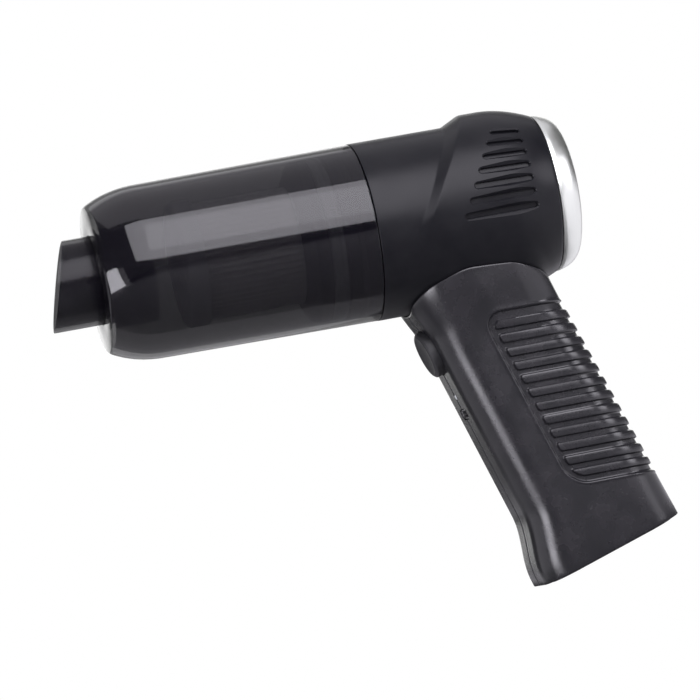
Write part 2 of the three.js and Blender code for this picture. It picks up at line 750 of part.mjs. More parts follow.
// Openings in the shells' front face: the button, the light and the charging port.
function frontOpenings() {
  const button = bar("x", BUTTON.radius + 0.4, -40, -15, [0, BUTTON.z], 20);
  const light = bar("x", LED.radius + 0.2, -40, -15, [0, LED.z], 16);
  const portEnd = PORT.halfHeight + 0.3;
  const middle = PORT.halfWidth - PORT.halfHeight;
  const outline = [...arc(middle, 0, portEnd, -90, 90, 4), ...arc(-middle, 0, portEnd, 90, 270, 4)];
  const port = extruded(outline, 20).rotateX(Math.PI / 2).rotateZ(-Math.PI / 2).translate(-14, 0, PORT.z);
  return join(button, light, solidOf(port));
}

const half = {
  left: block([-60, -60, -5], [60, -SEAM, 160]),
  right: block([-60, SEAM, -5], [60, 60, 160]),
};

function bosses(from, to) {
  return SHELL_SCREWS.map((screw) => bar("y", SCREW.boss, from, to, [screw.x, screw.z], SCREW_SIDES));
}

// Posts inside the neck that the two neck screws run into, one in each shell.
function neckPost(side) {
  const post = bar("z", 3, -42, -HOUSING.radius + 1.4, [NECK_SCREW.x, side * NECK_SCREW.y], SCREW_SIDES);
  const arm = block([NECK_SCREW.x - 1, 0, -40], [NECK_SCREW.x + 1, 19, -32]);
  const placed = side > 0 ? arm : solidOf(geometryOf(arm).rotateZ(Math.PI).translate(2 * NECK_SCREW.x, 0, 0));
  return solidOf(geometryOf(join(post, placed)).applyMatrix4(barrel.matrixWorld));
}

function neckPilot(side) {
  const pilot = bar("z", NECK_SCREW.shank + GAP / 2, -50, -20, [NECK_SCREW.x, side * NECK_SCREW.y], SCREW_SIDES);
  return solidOf(geometryOf(pilot).applyMatrix4(barrel.matrixWorld));
}

function leftShell(body, cavity) {
  const posts = bosses(-30, -SEAM).map((boss) => boss.intersect(cavity));
  const pilots = SHELL_SCREWS.map((screw) =>
    bar("y", SCREW.shank + GAP / 2, -9, 1, [screw.x, screw.z], SCREW_SIDES),
  );
  const post = cut(neckPost(-1).intersect(cavity), neckPilot(-1));
  return cut(join(body.intersect(half.left), ...posts, post), ...pilots, frontOpenings());
}

function rightShell(body, cavity) {
  const posts = bosses(SEAM, 30).map((boss) => boss.intersect(cavity));
  const holes = SHELL_SCREWS.flatMap((screw) => [
    bar("y", SCREW.shank + GAP, -1, 30, [screw.x, screw.z], SCREW_SIDES),
    bar("y", SCREW.head + GAP, SCREW.length + SCREW.insert, 30, [screw.x, screw.z], SCREW_SIDES),
  ]);
  const post = cut(neckPost(1).intersect(cavity), neckPilot(1));
  return cut(join(body.intersect(half.right), ...posts, post), ...holes, frontOpenings());
}

const barrelSpace = solidOf(geometryOf(housingOutside(GAP)).applyMatrix4(barrel.matrixWorld));
const shellBody = handleBody(barrelSpace);
const handleCavity = cut(handleSolid(-HANDLE.wall / 2, [2.6, 14, 24, 78, 93, 108, HANDLE.top]), barrelSpace);
add(product, "handle_shell_left", leftShell(shellBody, handleCavity), GRAINED_BLACK);
add(product, "handle_shell_right", rightShell(shellBody, handleCavity), GRAINED_BLACK);
add(product, "handle_base_plate", handleSolid(-HANDLE.wall - GAP, [0, 2.2]), INNER_BLACK);

function shellScrew({ x, z }) {
  const seat = SCREW.length + SCREW.insert;
  const head = bar("y", SCREW.head, seat + GAP, seat + GAP + SCREW.headHeight, [x, z], SCREW_SIDES);
  const shank = bar("y", SCREW.shank, SCREW.insert, seat + GAP + 0.2, [x, z], SCREW_SIDES);
  return join(head, shank);
}

SHELL_SCREWS.forEach((screw, index) => add(product, `shell_screw_${index + 1}`, shellScrew(screw), STEEL));

function neckScrew(side) {
  const place = [NECK_SCREW.x, side * NECK_SCREW.y];
  const seat = -Math.sqrt(HOUSING.innerRadius ** 2 - (NECK_SCREW.y + NECK_SCREW.head) ** 2) + 1.5;
  const head = bar("z", NECK_SCREW.head, seat, seat + 1.5, place, SCREW_SIDES);
  return join(head, bar("z", NECK_SCREW.shank, -38, seat + 0.2, place, SCREW_SIDES));
}

add(barrel, "neck_screw_left", neckScrew(-1), STEEL);
add(barrel, "neck_screw_right", neckScrew(1), STEEL);

// ---------------------------------------------------------------- button, switch, light and charging port

function buttonSolid() {
  const { face, radius, flange, flangeRadius } = BUTTON;
  const cap = turned([
    [face + 0.5, 0],
    [face + 0.3, radius * 0.55],
    [face, radius * 0.8],
    [face + 0.7, radius],
    [flange, radius],
    [flange, flangeRadius],
    [flange + 1.1, flangeRadius],
    [flange + 1.1, 2],
    [-15, 2],
    [-15, 0],
  ], 20);
  return solidOf(geometryOf(cap).translate(0, 0, BUTTON.z));
}

function switchBodySolid() {
  const { front, rear, halfWidth, halfHeight } = SWITCH;
  const body = block([front, -halfWidth, BUTTON.z - halfHeight], [rear, halfWidth, BUTTON.z + halfHeight]);
  return cut(body, bar("x", 1.9, front - 1, rear - 2.6, [0, BUTTON.z], 16));
}

// A wire spring pushes the button back out.
function springSolid() {
  const turns = 3;
  const from = BUTTON.flange + 1.1 + 0.6;
  const to = SWITCH.front - 0.6;
  const points = Array.from({ length: turns * 10 + 1 }, (_, index) => {
    const angle = (index * 2 * Math.PI) / 10;
    const x = from + ((to - from) * index) / (turns * 10);
    return new THREE.Vector3(x, 3.4 * Math.cos(angle), BUTTON.z + 3.4 * Math.sin(angle));
  });
  return lead(points, 0.3, turns * 8, 4);
}

function portShellSolid() {
  const middle = PORT.halfWidth - PORT.halfHeight;
  const stadium = (radius) => [
    ...arc(middle, 0, radius, -90, 90, 4),
    ...arc(-middle, 0, radius, 90, 270, 4),
  ];
  const depth = BOARD.front - GAP - PORT.mouth;
  const outer = extruded(stadium(PORT.halfHeight), depth);
  const hollow = extruded(stadium(PORT.halfHeight - PORT.wall), depth);
  const turnedRound = (geometry) => solidOf(geometry.rotateX(Math.PI / 2).rotateZ(-Math.PI / 2));
  const back = PORT.mouth + depth;
  const shell = cut(turnedRound(outer), turnedRound(hollow.translate(0, 0, 0.6)));
  return solidOf(geometryOf(shell).translate(back, 0, PORT.z));
}

add(product, "power_button", buttonSolid(), SATIN_BLACK);
add(product, "switch_plunger", bar("x", 1.6, -14.8, -12.5, [0, BUTTON.z], 16), WHITE_PLASTIC);
add(product, "button_spring", springSolid(), STEEL);
add(product, "switch_body", switchBodySolid(), INNER_BLACK);
add(product, "led_lens", bar("x", LED.radius, -21.9, BOARD.front - GAP, [0, LED.z], 16), CLEAR_LENS);
add(product, "charging_port_shell", portShellSolid(), STEEL);
add(
  product,
  "charging_port_tongue",
  block([-20.6, -3.3, PORT.z - 0.35], [BOARD.front - GAP - 0.9, 3.3, PORT.z + 0.35]),
  INNER_BLACK,
);
add(
  product,
  "control_board",
  block([BOARD.front, -BOARD.halfWidth, BOARD.bottom], [BOARD.rear, BOARD.halfWidth, BOARD.top]),
  GREEN_BOARD,
);

// ---------------------------------------------------------------- battery and leads

function cellSolid(x) {
  const top = CELL.bottom + CELL.length;
  const wrap = bar("z", CELL.radius, CELL.bottom, top - 0.4, [x, 0], 28);
  return join(wrap, bar("z", 3.2, top - 0.6, top, [x, 0], 14));
}

// The tray under the cells has a pocket for each and keeps them off the base plate.
function traySolid() {
  const [first, second] = CELL.x;
  const tray = block([first - 10.2, -11.5, 2.7], [second + 9.0, 11.5, 10.5]);
  const rounded = tray.intersect(handleSolid(-HANDLE.wall - 2 * GAP, [2.5, 14]));
  const pockets = CELL.x.map((x) => bar("z", CELL.radius + GAP, 4.7, 20, [x, 0], 28));
  const stripSlot = block([first - 4.5, -4, 4.7], [second + 4.5, 4, 20]);
  return cut(rounded, ...pockets, stripSlot);
}

function stripSolid(z) {
  const [first, second] = CELL.x;
  return block([first - 4, -3.5, z], [second + 4, 3.5, z + 0.4]);
}

CELL.x.forEach((x, index) => add(product, `battery_cell_${index + 1}`, cellSolid(x), CELL_WRAP));
add(product, "battery_tray", traySolid(), INNER_BLACK);
add(product, "nickel_strip_top", stripSolid(CELL.bottom + CELL.length + GAP), NICKEL);
add(product, "nickel_strip_bottom", stripSolid(CELL.bottom - GAP - 0.4), NICKEL);

// The motor leads rise from the board through the neck and run along the motor to its terminals.
function motorLead(side) {
  const up = [
    new THREE.Vector3(-14.9, side * 5.5, BOARD.top + GAP),
    new THREE.Vector3(-13.5, side * 7, 82),
    new THREE.Vector3(-9, side * 7, 88),
    new THREE.Vector3(-6, side * 4.4, 92.5),
  ];
  const along = [
    new THREE.Vector3(WIRE_HOLE.x - 1, side * 1.8, -29.5),
    new THREE.Vector3(WIRE_HOLE.x + 1.5, side * 2, -25.5),
    new THREE.Vector3(42, side * 5.4, -22.8),
    new THREE.Vector3(52, side * 8.2, -22.5),
    new THREE.Vector3(55.5, side * 8.2, -19.8),
    new THREE.Vector3(MOTOR.bellEnd - 1, side * 8, -17.6),
  ].map((point) => point.applyMatrix4(barrel.matrixWorld));
  return lead([...up, ...along], 0.8, 24, 5);
}

add(product, "motor_lead_red", motorLead(-1), RED_WIRE);
add(product, "motor_lead_black", motorLead(1), BLACK_WIRE);

export default product;
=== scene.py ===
"""Looks for a cordless hand-held car vacuum and blower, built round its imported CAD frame.

Sizes are in millimetres. The barrel has a frame of its own, as in the CAD: x runs along its axis, from the
joint between dust cup and housing towards the silver ring, and z is its top. The handle stands upright.
"""

import json
import math
from types import SimpleNamespace as Sizes

import bmesh
import bpy
import numpy as np
from mathutils import Matrix, Vector


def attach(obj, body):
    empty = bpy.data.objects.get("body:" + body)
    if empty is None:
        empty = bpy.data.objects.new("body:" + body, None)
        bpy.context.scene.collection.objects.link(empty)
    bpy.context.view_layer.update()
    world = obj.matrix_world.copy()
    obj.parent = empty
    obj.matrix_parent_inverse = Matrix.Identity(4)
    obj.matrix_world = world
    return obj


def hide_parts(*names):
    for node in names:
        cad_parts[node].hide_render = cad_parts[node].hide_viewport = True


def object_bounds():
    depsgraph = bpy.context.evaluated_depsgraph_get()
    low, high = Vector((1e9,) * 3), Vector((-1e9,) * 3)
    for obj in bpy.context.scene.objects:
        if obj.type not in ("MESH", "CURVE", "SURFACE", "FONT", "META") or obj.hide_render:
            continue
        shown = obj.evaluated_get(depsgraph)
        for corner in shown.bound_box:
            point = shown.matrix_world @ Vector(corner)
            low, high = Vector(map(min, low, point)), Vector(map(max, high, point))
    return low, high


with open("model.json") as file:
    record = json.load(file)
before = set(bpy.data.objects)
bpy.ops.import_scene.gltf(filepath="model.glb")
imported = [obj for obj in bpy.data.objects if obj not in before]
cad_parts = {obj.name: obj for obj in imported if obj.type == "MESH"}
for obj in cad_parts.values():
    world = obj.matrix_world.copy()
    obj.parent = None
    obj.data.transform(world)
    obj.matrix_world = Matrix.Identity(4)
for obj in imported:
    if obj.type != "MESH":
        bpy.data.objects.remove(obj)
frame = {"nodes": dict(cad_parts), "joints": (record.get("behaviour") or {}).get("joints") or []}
cad_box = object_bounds()

# ------------------------ places and sizes

MM = 0.001
GAP = 0.3  # between pieces that rest on each other
SIDES = 144  # facets round a turned piece
ROUND_STEPS = 4  # facets in a rounded corner

spin = next(joint for joint in frame["joints"] if joint["name"] == "rotor_spin")
ALONG = Vector(spin["axis"])
BARREL_TOP = ALONG.cross(Vector((0, 1, 0)))
TURNED = Matrix((ALONG, (0, 1, 0), BARREL_TOP)).transposed().to_4x4()
BARREL = Matrix.Translation(spin["pos_m"]) @ TURNED @ Matrix.Scale(MM, 4)
UPRIGHT = Matrix.Scale(MM, 4)
BARREL_X, _, BARREL_Z = [value / MM for value in spin["pos_m"]]
TILT_SIN = -ALONG.z
TILT_COS = ALONG.x

CUP = Sizes(
    front=-92, shoulder_end=-73.5, front_radius=24.8, shoulder_radius=29.5, rear_radius=30.2, wall=1.8
)
COLLAR = Sizes(inner=15.2, outer=17, end=-74)
NOZZLE = Sizes(radius=15, inner=13.5, lip=-105, slant=17.5, turn=28, spigot_end=-80)
ORING = Sizes(x=-86, width=2, inner=14.2, outer=14.95)
HOUSING = Sizes(radius=30.3, inner=28.3, end=63.5, spigot_end=-11, spigot=28, spigot_inner=26.2)
HOOD = Sizes(lift=2.3, radius=31.2, step=16.2, slope=0.56, end_radius=26.9, outlet=24.3)
TAPER = Sizes(start=46, power=1.85, front_share=1.5)
OUTLET_POCKET = 57
# The housing's bore, from behind: x, and how much thicker the wall is there.
HOUSING_BORE = [(OUTLET_POCKET, 2.4), (50, 0.6), (46, 0), (30, 0), (15, 0), (1.6, 0)]
VENTS = Sizes(
    count=7, rear_end=55, longest=25.5, shorten=2.6, width=1.9, first_angle=-11, pitch=9.05, depth=1.3
)
SEAL_GROOVE = Sizes(front=-7, rear=-4.6, depth=0.9)
RING = Sizes(start=63.8, end=71.5, end_radius=21.5, lip=20.2, spigot=24, spigot_inner=22.4)
FILTER = Sizes(front=-64.2, cap_end=-57, rear=-11.4, cap_radius=21.3, pleats=56, outer=19.8, inner=17.6)
FLANGE = Sizes(front=-22.4, rear=-16.4, rim=27.6, tube_inner=15.2, tube_outer=16.6, tube_front=-60.8)
GASKET = Sizes(inner=24, outer=27.9, waist=27.2)
MOTOR = Sizes(radius=18, wall=1.2, front=18.6, can_end=56, bell_end=60, bearing=5.2)
DAMPER = Sizes(front=49.5, rear=54.5, outer=19.9)
HANDLE = Sizes(
    front=-21.7, rear=25.2, half_width=18, front_corner=10, rear_corner=12.5, wall=2, bottom=0.4
)
TOE = Sizes(top=25, bottom=3, flare=4.5)
NECK = Sizes(start=90, end=106, flare=2, widen_from=78, widen_to=108, widen=5.8)
FRONT_WIDEN = Sizes(share=0.15, start=-21, end=1)
LEAN = Sizes(at_base=1.1, per_height=-0.021)
SEAM = 0.15  # half the gap between the two handle shells
PANEL = Sizes(front=-4.5, top=-35.5, bottom=-97.3, corner=6.5, depth=0.8)
BARS = Sizes(count=12, pitch=4.9, first=-39.9, half=1.6, inset=2.2, height=1.05, end_corner=0.9)
BUTTON = Sizes(z=87, radius=8.2, face=-24.7, flange_radius=9.5, flange=-19.2, stem=2, end=-15)
LED = Sizes(z=70, radius=1, dome=-21.9, end=-15.9)
PORT = Sizes(z=63.5, half_width=4.5, half_height=1.65, wall=0.35, mouth=-21.4, back=-15.9)
# The x and z of each handle screw, and how far from the seam its post reaches.
SCREWS = [(-17, 14, 12.4), (-17, 42, 12.4), (-1, 79.5, 16.8), (16.5, 79.5, 14.8)]
SCREW = Sizes(head=1.9, shank=1, seat=6, tip=-9, post=2.8)

LIFTED = BARREL @ Matrix.Translation((0, 0, HOOD.lift))

# ------------------------ mesh making


def ramp(value, start, end):
    """0 before start, 1 after end, and a smooth rise between them."""
    share = np.clip((value - start) / (end - start), 0, 1)
    return share * share * (3 - 2 * share)


def add_object(name, mesh, place):
    """An object from a mesh in millimetres: moved to its place, points merged and faces turned outward."""
    mesh.transform(place)
    work = bmesh.new()
    work.from_mesh(mesh)
    bmesh.ops.remove_doubles(work, verts=work.verts, dist=2e-6)
    bmesh.ops.dissolve_degenerate(work, edges=work.edges, dist=1e-6)
    bmesh.ops.recalc_face_normals(work, faces=work.faces)
    work.to_mesh(mesh)
    work.free()
    piece = bpy.data.objects.new(name, mesh)
    bpy.context.scene.collection.objects.link(piece)
    return piece


def make(name, points, faces, place):
    """A mesh object from points in millimetres."""
    mesh = bpy.data.meshes.new(name)
    points = np.asarray(points, float)
    mesh.from_pydata([tuple(point) for point in points], [], [tuple(face) for face in faces])
    return add_object(name, mesh, place)


def grid_faces(rows, columns, close_rows=True, close_columns=True):
    """Quads between neighbouring points of a rows x columns grid."""
    row = np.arange(rows if close_rows else rows - 1)
    column = np.arange(columns if close_columns else columns - 1)
    near, across = np.meshgrid(row, column, indexing="ij")
    beyond = (near + 1) % rows
    after = (across + 1) % columns
    corners = [(near, across), (near, after), (beyond, after), (beyond, across)]
    return np.stack([i * columns + j for i, j in corners], axis=-1).reshape(-1, 4).tolist()


def rounded(outline):
    """The closed outline, with a corner that has a third value rounded over that reach."""
    points = []
    for i, corner in enumerate(outline):
        here = Vector(corner[:2])
        if len(corner) < 3:
            points.append(here)
            continue
        start = here + (Vector(outline[i - 1][:2]) - here).normalized() * corner[2]
        end = here + (Vector(outline[(i + 1) % len(outline)][:2]) - here).normalized() * corner[2]
        for step in range(ROUND_STEPS + 1):
            t = step / ROUND_STEPS
            points.append(start * (1 - t) ** 2 + here * 2 * t * (1 - t) + end * t**2)
    return points


def bezier(start, middle, end, steps):
    """Points of a quadratic curve, with both ends."""
    start, middle, end = Vector(start), Vector(middle), Vector(end)
    shares = [step / steps for step in range(steps + 1)]
    return [tuple(start * (1 - t) ** 2 + middle * 2 * t * (1 - t) + end * t**2) for t in shares]


def ring_of(profile, sides=SIDES):
    """Points of a profile of (x, radius) turned round the x axis, as a rows x sides grid."""
    angles = np.linspace(0, 2 * math.pi, sides, endpoint=False)
    x = np.array([point[0] for point in profile])[:, None] + 0 * angles
    radius = np.array([point[1] for point in profile])[:, None]
    return np.stack([x, radius * np.cos(angles), radius * np.sin(angles)], axis=-1)


def turned(name, outline, place=BARREL, sides=SIDES):
    """A turned solid round the x axis from a closed outline of (x, radius) or (x, radius, rounding)."""
    grid = ring_of(rounded(outline), sides)
    return make(name, grid.reshape(-1, 3), grid_faces(*grid.shape[:2]), place)


def plain_ring(name, front, rear, inner, outer, rounding):
    """A ring on the barrel's axis, with rounded corners."""
    corners = [(front, inner), (front, outer), (rear, outer), (rear, inner)]
    return turned(name, [(*corner, rounding) for corner in corners])


def flat_plate(name, outline, holes, start, thickness, edge, place):
    """A plate across the x axis from a (y, z) outline with holes, with rounded edges all round."""
    curve = bpy.data.curves.new(name, "CURVE")
    curve.dimensions = "2D"
    curve.fill_mode = "BOTH"
    curve.extrude = thickness / 2 - edge
    curve.bevel_depth = edge
    curve.offset = -edge
    curve.bevel_resolution = 2
    for loop in [outline, *holes]:
        spline = curve.splines.new("POLY")
        spline.points.add(len(loop) - 1)
        spline.points.foreach_set("co", [value for y, z in loop for value in (y, z, 0, 1)])
        spline.use_cyclic_u = True
    drawn = bpy.data.objects.new(name + "_outline", curve)
    bpy.context.scene.collection.objects.link(drawn)
    mesh = bpy.data.meshes.new_from_object(drawn.evaluated_get(bpy.context.evaluated_depsgraph_get()))
    bpy.data.objects.remove(drawn)
    # The drawing's own x and y become y and z, and its thickness runs along x.
    stand = Matrix(((0, 0, 1, start + thickness / 2), (1, 0, 0, 0), (0, 1, 0, 0), (0, 0, 0, 1)))
    return add_object(name, mesh, place @ stand)


def arc(y, z, radius, start, end, steps):
    """Points along part of a circle, angles in degrees."""
    angles = np.radians(np.linspace(start, end, steps + 1))
    return [(y + radius * math.cos(angle), z + radius * math.sin(angle)) for angle in angles]


def prism(name, low, high, place):
    """A closed solid between two loops with the same number of points."""
    count = len(low)
    faces = [(i, (i + 1) % count, count + (i + 1) % count, count + i) for i in range(count)]
    faces += [tuple(range(count))[::-1], tuple(range(count, 2 * count))]
    return make(name, [*low, *high], faces, place)


def stack(name, loops, place):
    """A closed solid through a pile of loops with the same number of points."""
    count = len(loops[0])
    faces = grid_faces(len(loops), count, close_rows=False)
    last = (len(loops) - 1) * count
    faces += [tuple(range(count))[::-1], tuple(range(last, last + count))]
    return make(name, np.array(loops).reshape(-1, 3), faces, place)


def circle(y, z, radius, steps=144):
    """Points round a whole circle."""
    return arc(y, z, radius, 0, 360 - 360 / steps, steps - 1)


def rod_along_x(y, z, radius, start, end, steps):
    """A round rod along x, to cut a hole with."""
    ring = circle(y, z, radius, steps)
    return prism("rod", *[[(x, across, up) for across, up in ring] for x in (start, end)], UPRIGHT)


def rod_along_y(x, z, radius, start, end, steps):
    """A round rod along y, to cut a hole with or to join on as a post."""
    ring = circle(x, z, radius, steps)
    return prism("rod", *[[(along, y, up) for along, up in ring] for y in (start, end)], UPRIGHT)


def stadium(half_width, radius, steps=10):
    """A (y, z) loop with straight top and bottom and round ends."""
    middle = half_width - radius
    return arc(middle, 0, radius, -90, 90, steps) + arc(-middle, 0, radius, 90, 270, steps)


def windows(rings):
    """Loops of the openings in a grille: rings of arcs with spokes between them."""
    loops = []
    for ring in rings:
        pitch = 360 / ring["count"]
        for i in range(ring["count"]):
            start = i * pitch + ring["spoke"] / 2
            end = (i + 1) * pitch - ring["spoke"] / 2
            steps = max(4, int((end - start) / 3))
            outer = arc(0, 0, ring["outer"], start, end, steps)
            loops.append(outer + arc(0, 0, ring["inner"], end, start, steps))
    return loops


def settle(piece):
    """Applies the piece's modifiers to its mesh."""
    bpy.context.view_layer.update()
    mesh = bpy.data.meshes.new_from_object(piece.evaluated_get(bpy.context.evaluated_depsgraph_get()))
    old = piece.data
    piece.modifiers.clear()
    piece.data = mesh
    bpy.data.meshes.remove(old)


def combine(whole, tools, operation="DIFFERENCE"):
    """Cuts the tools from a piece, or joins them to it, and removes them."""
    for tool in tools:
        modifier = whole.modifiers.new("combine", "BOOLEAN")
        modifier.operation = operation
        modifier.solver = "MANIFOLD"
        modifier.object = tool
    settle(whole)
    for tool in tools:
        bpy.data.objects.remove(tool)
    return whole


def publish(piece, body, slot, material, *nodes, crease=35):
    """Shades a finished piece and lets it ride on its body in place of its CAD nodes."""
    piece.data.materials.clear()
    piece.data.materials.append(material)
    piece.data.shade_smooth()
    piece.data.set_sharp_from_angle(angle=math.radians(crease))
    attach(piece, body)
    if nodes:
        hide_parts(*nodes)
    return piece


# ------------------------ materials


def new_material(name):
    """An empty node material with its Principled shader."""
    material = bpy.data.materials.new(name)
    material.use_nodes = True
    return material, material.node_tree, material.node_tree.nodes["Principled BSDF"]


def add_node(tree, kind, **values):
    """A node, with its settings and the plain values of its inputs."""
    node = tree.nodes.new(kind)
    for key, value in values.items():
        if key in node.inputs:
            node.inputs[key].default_value = value
        else:
            setattr(node, key, value)
    return node


def feed(shader, socket, value):
    """Links a value to one of the shader's sockets."""
    shader.id_data.links.new(value, shader.inputs[socket])


def object_noise(tree, size, detail=3.0, roughness=0.55, stretch=(1, 1, 1)):
    """Noise with features of about the given size in millimetres, fixed to the piece."""
    place = add_node(tree, "ShaderNodeTexCoord")
    scale = add_node(tree, "ShaderNodeMapping")
    scale.inputs["Scale"].default_value = stretch
    noise = add_node(tree, "ShaderNodeTexNoise", Scale=1 / (size * MM), Detail=detail, Roughness=roughness)
    tree.links.new(place.outputs["Object"], scale.inputs["Vector"])
    tree.links.new(scale.outputs["Vector"], noise.inputs["Vector"])
    return noise.outputs["Fac"]


def spread(tree, value, low, high, start=0.3, end=0.7):
    """The value, which runs from start to end, spread between low and high."""
    node = add_node(tree, "ShaderNodeMapRange")
    for name, limit in [("From Min", start), ("From Max", end), ("To Min", low), ("To Max", high)]:
        node.inputs[name].default_value = limit
    tree.links.new(value, node.inputs["Value"])
    return node.outputs["Result"]


def blended(tree, value, first, second, **settings):
    """A colour between two, by value. The first can come from another node."""
    node = add_node(tree, "ShaderNodeMix", data_type="RGBA", **settings)
    low, high = [socket for socket in node.inputs if socket.type == "RGBA"]
    if isinstance(first, tuple):
        low.default_value = (*first, 1)
    else:
        tree.links.new(first, low)
    high.default_value = (*second, 1)
    tree.links.new(value, node.inputs["Factor"])
    return next(socket for socket in node.outputs if socket.type == "RGBA")


def add_bump(tree, shader, height, depth, strength=1.0):
    """Bump of the given depth in millimetres on the shader."""
    bump = add_node(tree, "ShaderNodeBump", Strength=strength, Distance=depth * MM)
    tree.links.new(height, bump.inputs["Height"])
    feed(shader, "Normal", bump.outputs["Normal"])


def moulded(name, colour, lighter, roughness, grain=0.35, depth=0.012, specular=0.5):
    """Moulded plastic: a fine grain, a roughness that varies a little, and a slight change of tone."""
    material, tree, shader = new_material(name)
    shader.inputs["Specular IOR Level"].default_value = specular
    broad = object_noise(tree, 9.0, detail=4.0)
    fine = object_noise(tree, grain, detail=2.0, roughness=0.6)
    tone = blended(tree, spread(tree, broad, 0, 1), colour, lighter)
    feed(shader, "Base Color", tone)
    feed(shader, "Roughness", spread(tree, broad, roughness - 0.05, roughness + 0.05))
    add_bump(tree, shader, fine, depth)
    return material


def smoked_plastic(name, colour, alpha, roughness, specular=0.5):
    """Dark see-through plastic, polished, with the faintest waviness of a moulding and some finger wear."""
    material, tree, shader = new_material(name)
    shader.inputs["Base Color"].default_value = (*colour, 1)
    shader.inputs["Alpha"].default_value = alpha
    shader.inputs["IOR"].default_value = 1.55
    shader.inputs["Specular IOR Level"].default_value = specular
    smudges = object_noise(tree, 14.0, detail=5.0, roughness=0.65)
    feed(shader, "Roughness", spread(tree, smudges, roughness, roughness * 2, 0.4, 0.75))
    add_bump(tree, shader, object_noise(tree, 22.0, detail=1.0), 0.06, 0.4)
    return material


def spun_metal(name, colour, roughness, depth):
    """Satin metal with fine lines round the barrel's axis."""
    material, tree, shader = new_material(name)
    shader.inputs["Metallic"].default_value = 1
    place = add_node(tree, "ShaderNodeTexCoord")
    offset = add_node(tree, "ShaderNodeVectorMath", operation="DOT_PRODUCT")
    offset.inputs[1].default_value = ALONG
    tree.links.new(place.outputs["Object"], offset.inputs[0])
    lines = add_node(tree, "ShaderNodeTexNoise", noise_dimensions="1D", Scale=1 / (0.16 * MM), Detail=2.0)
    tree.links.new(offset.outputs["Value"], lines.inputs["W"])
    cloud = object_noise(tree, 6.0, detail=4.0)
    feed(shader, "Roughness", spread(tree, cloud, roughness - 0.04, roughness + 0.06))
    dimmer = tuple(value * 0.9 for value in colour)
    feed(shader, "Base Color", blended(tree, lines.outputs["Fac"], dimmer, colour))
    add_bump(tree, shader, lines.outputs["Fac"], depth)
    return material


def plain_metal(name, colour, roughness):
    """Bare metal with a slightly cloudy finish."""
    material, tree, shader = new_material(name)
    shader.inputs["Metallic"].default_value = 1
    cloud = object_noise(tree, 4.0, detail=5.0)
    feed(shader, "Roughness", spread(tree, cloud, roughness - 0.06, roughness + 0.1))
    dimmer = tuple(value * 0.82 for value in colour)
    feed(shader, "Base Color", blended(tree, cloud, dimmer, colour))
    add_bump(tree, shader, object_noise(tree, 0.5), 0.004)
    return material


def filter_paper(name):
    """Matt folded filter paper: short fibres and a little grey dust."""
    material, tree, shader = new_material(name)
    shader.inputs["Roughness"].default_value = 0.95
    fibres = object_noise(tree, 0.5, detail=5.0, roughness=0.7, stretch=(0.4, 1, 1))
    dust = object_noise(tree, 7.0, detail=4.0)
    clean = blended(tree, spread(tree, fibres, 0, 1), (0.80, 0.79, 0.77), (0.93, 0.92, 0.90))
    dusty = blended(tree, spread(tree, dust, 0, 0.35), clean, (0.62, 0.6, 0.56), blend_type="MULTIPLY")
    feed(shader, "Base Color", dusty)
    add_bump(tree, shader, fibres, 0.03)
    return material


def clear_plastic(name, colour):
    """A small cloudy lens."""
    material, tree, shader = new_material(name)
    shader.inputs["Alpha"].default_value = 0.7
    cloud = object_noise(tree, 0.8)
    feed(shader, "Base Color", blended(tree, cloud, colour, (0.9, 0.92, 0.94)))
    feed(shader, "Roughness", spread(tree, cloud, 0.12, 0.3))
    return material


SMOKED = smoked_plastic("smoked_shell", (0.004, 0.0035, 0.006), 0.69, 0.05)
SMOKED_SATIN = smoked_plastic("smoked_satin", (0.005, 0.0045, 0.007), 0.74, 0.14, specular=0.2)
SATIN_BLACK = moulded(
    "satin_black", (0.006, 0.006, 0.008), (0.009, 0.009, 0.011), 0.34, grain=0.25, depth=0.004, specular=0.19
)
BUTTON_BLACK = moulded(
    "button_black", (0.014, 0.014, 0.016), (0.020, 0.020, 0.022), 0.55, grain=0.3, depth=0.02
)
GRAINED_BLACK = moulded(
    "grained_black", (0.011, 0.011, 0.013), (0.016, 0.015, 0.018), 0.25, grain=0.3, depth=0.021
)
INNER_BLACK = moulded("inner_black", (0.016, 0.016, 0.017), (0.026, 0.026, 0.027), 0.5, depth=0.008)
CAP_GREY = moulded("cap_grey", (0.62, 0.62, 0.63), (0.72, 0.72, 0.73), 0.5, depth=0.008)
BLACK_RUBBER = moulded("black_rubber", (0.018, 0.018, 0.018), (0.032, 0.032, 0.032), 0.72, depth=0.02)
GREY_RUBBER = moulded("grey_rubber", (0.40, 0.42, 0.41), (0.52, 0.54, 0.53), 0.7, depth=0.02)
WHITE_PLASTIC = moulded("white_plastic", (0.66, 0.66, 0.64), (0.74, 0.74, 0.72), 0.45, depth=0.006)
MAGNET = moulded("magnet", (0.035, 0.035, 0.038), (0.06, 0.06, 0.065), 0.6, grain=0.5, depth=0.03)
CARBON = moulded("carbon", (0.02, 0.02, 0.021), (0.05, 0.05, 0.05), 0.65, grain=0.3, depth=0.03)
GREEN_BOARD = moulded("circuit_board", (0.012, 0.10, 0.045), (0.018, 0.14, 0.06), 0.4, grain=0.8, depth=0.01)
CELL_WRAP = moulded("cell_wrap", (0.03, 0.22, 0.42), (0.04, 0.26, 0.48), 0.3, grain=3.0, depth=0.02)
RED_WIRE = moulded("red_wire", (0.42, 0.02, 0.015), (0.52, 0.03, 0.02), 0.4, depth=0.004)
BLACK_WIRE = moulded("black_wire", (0.012, 0.012, 0.012), (0.02, 0.02, 0.02), 0.4, depth=0.004)
SILVER = spun_metal("silver_plate", (0.85, 0.87, 0.83), 0.32, depth=0.001)
STEEL = plain_metal("steel", (0.56, 0.56, 0.57), 0.32)
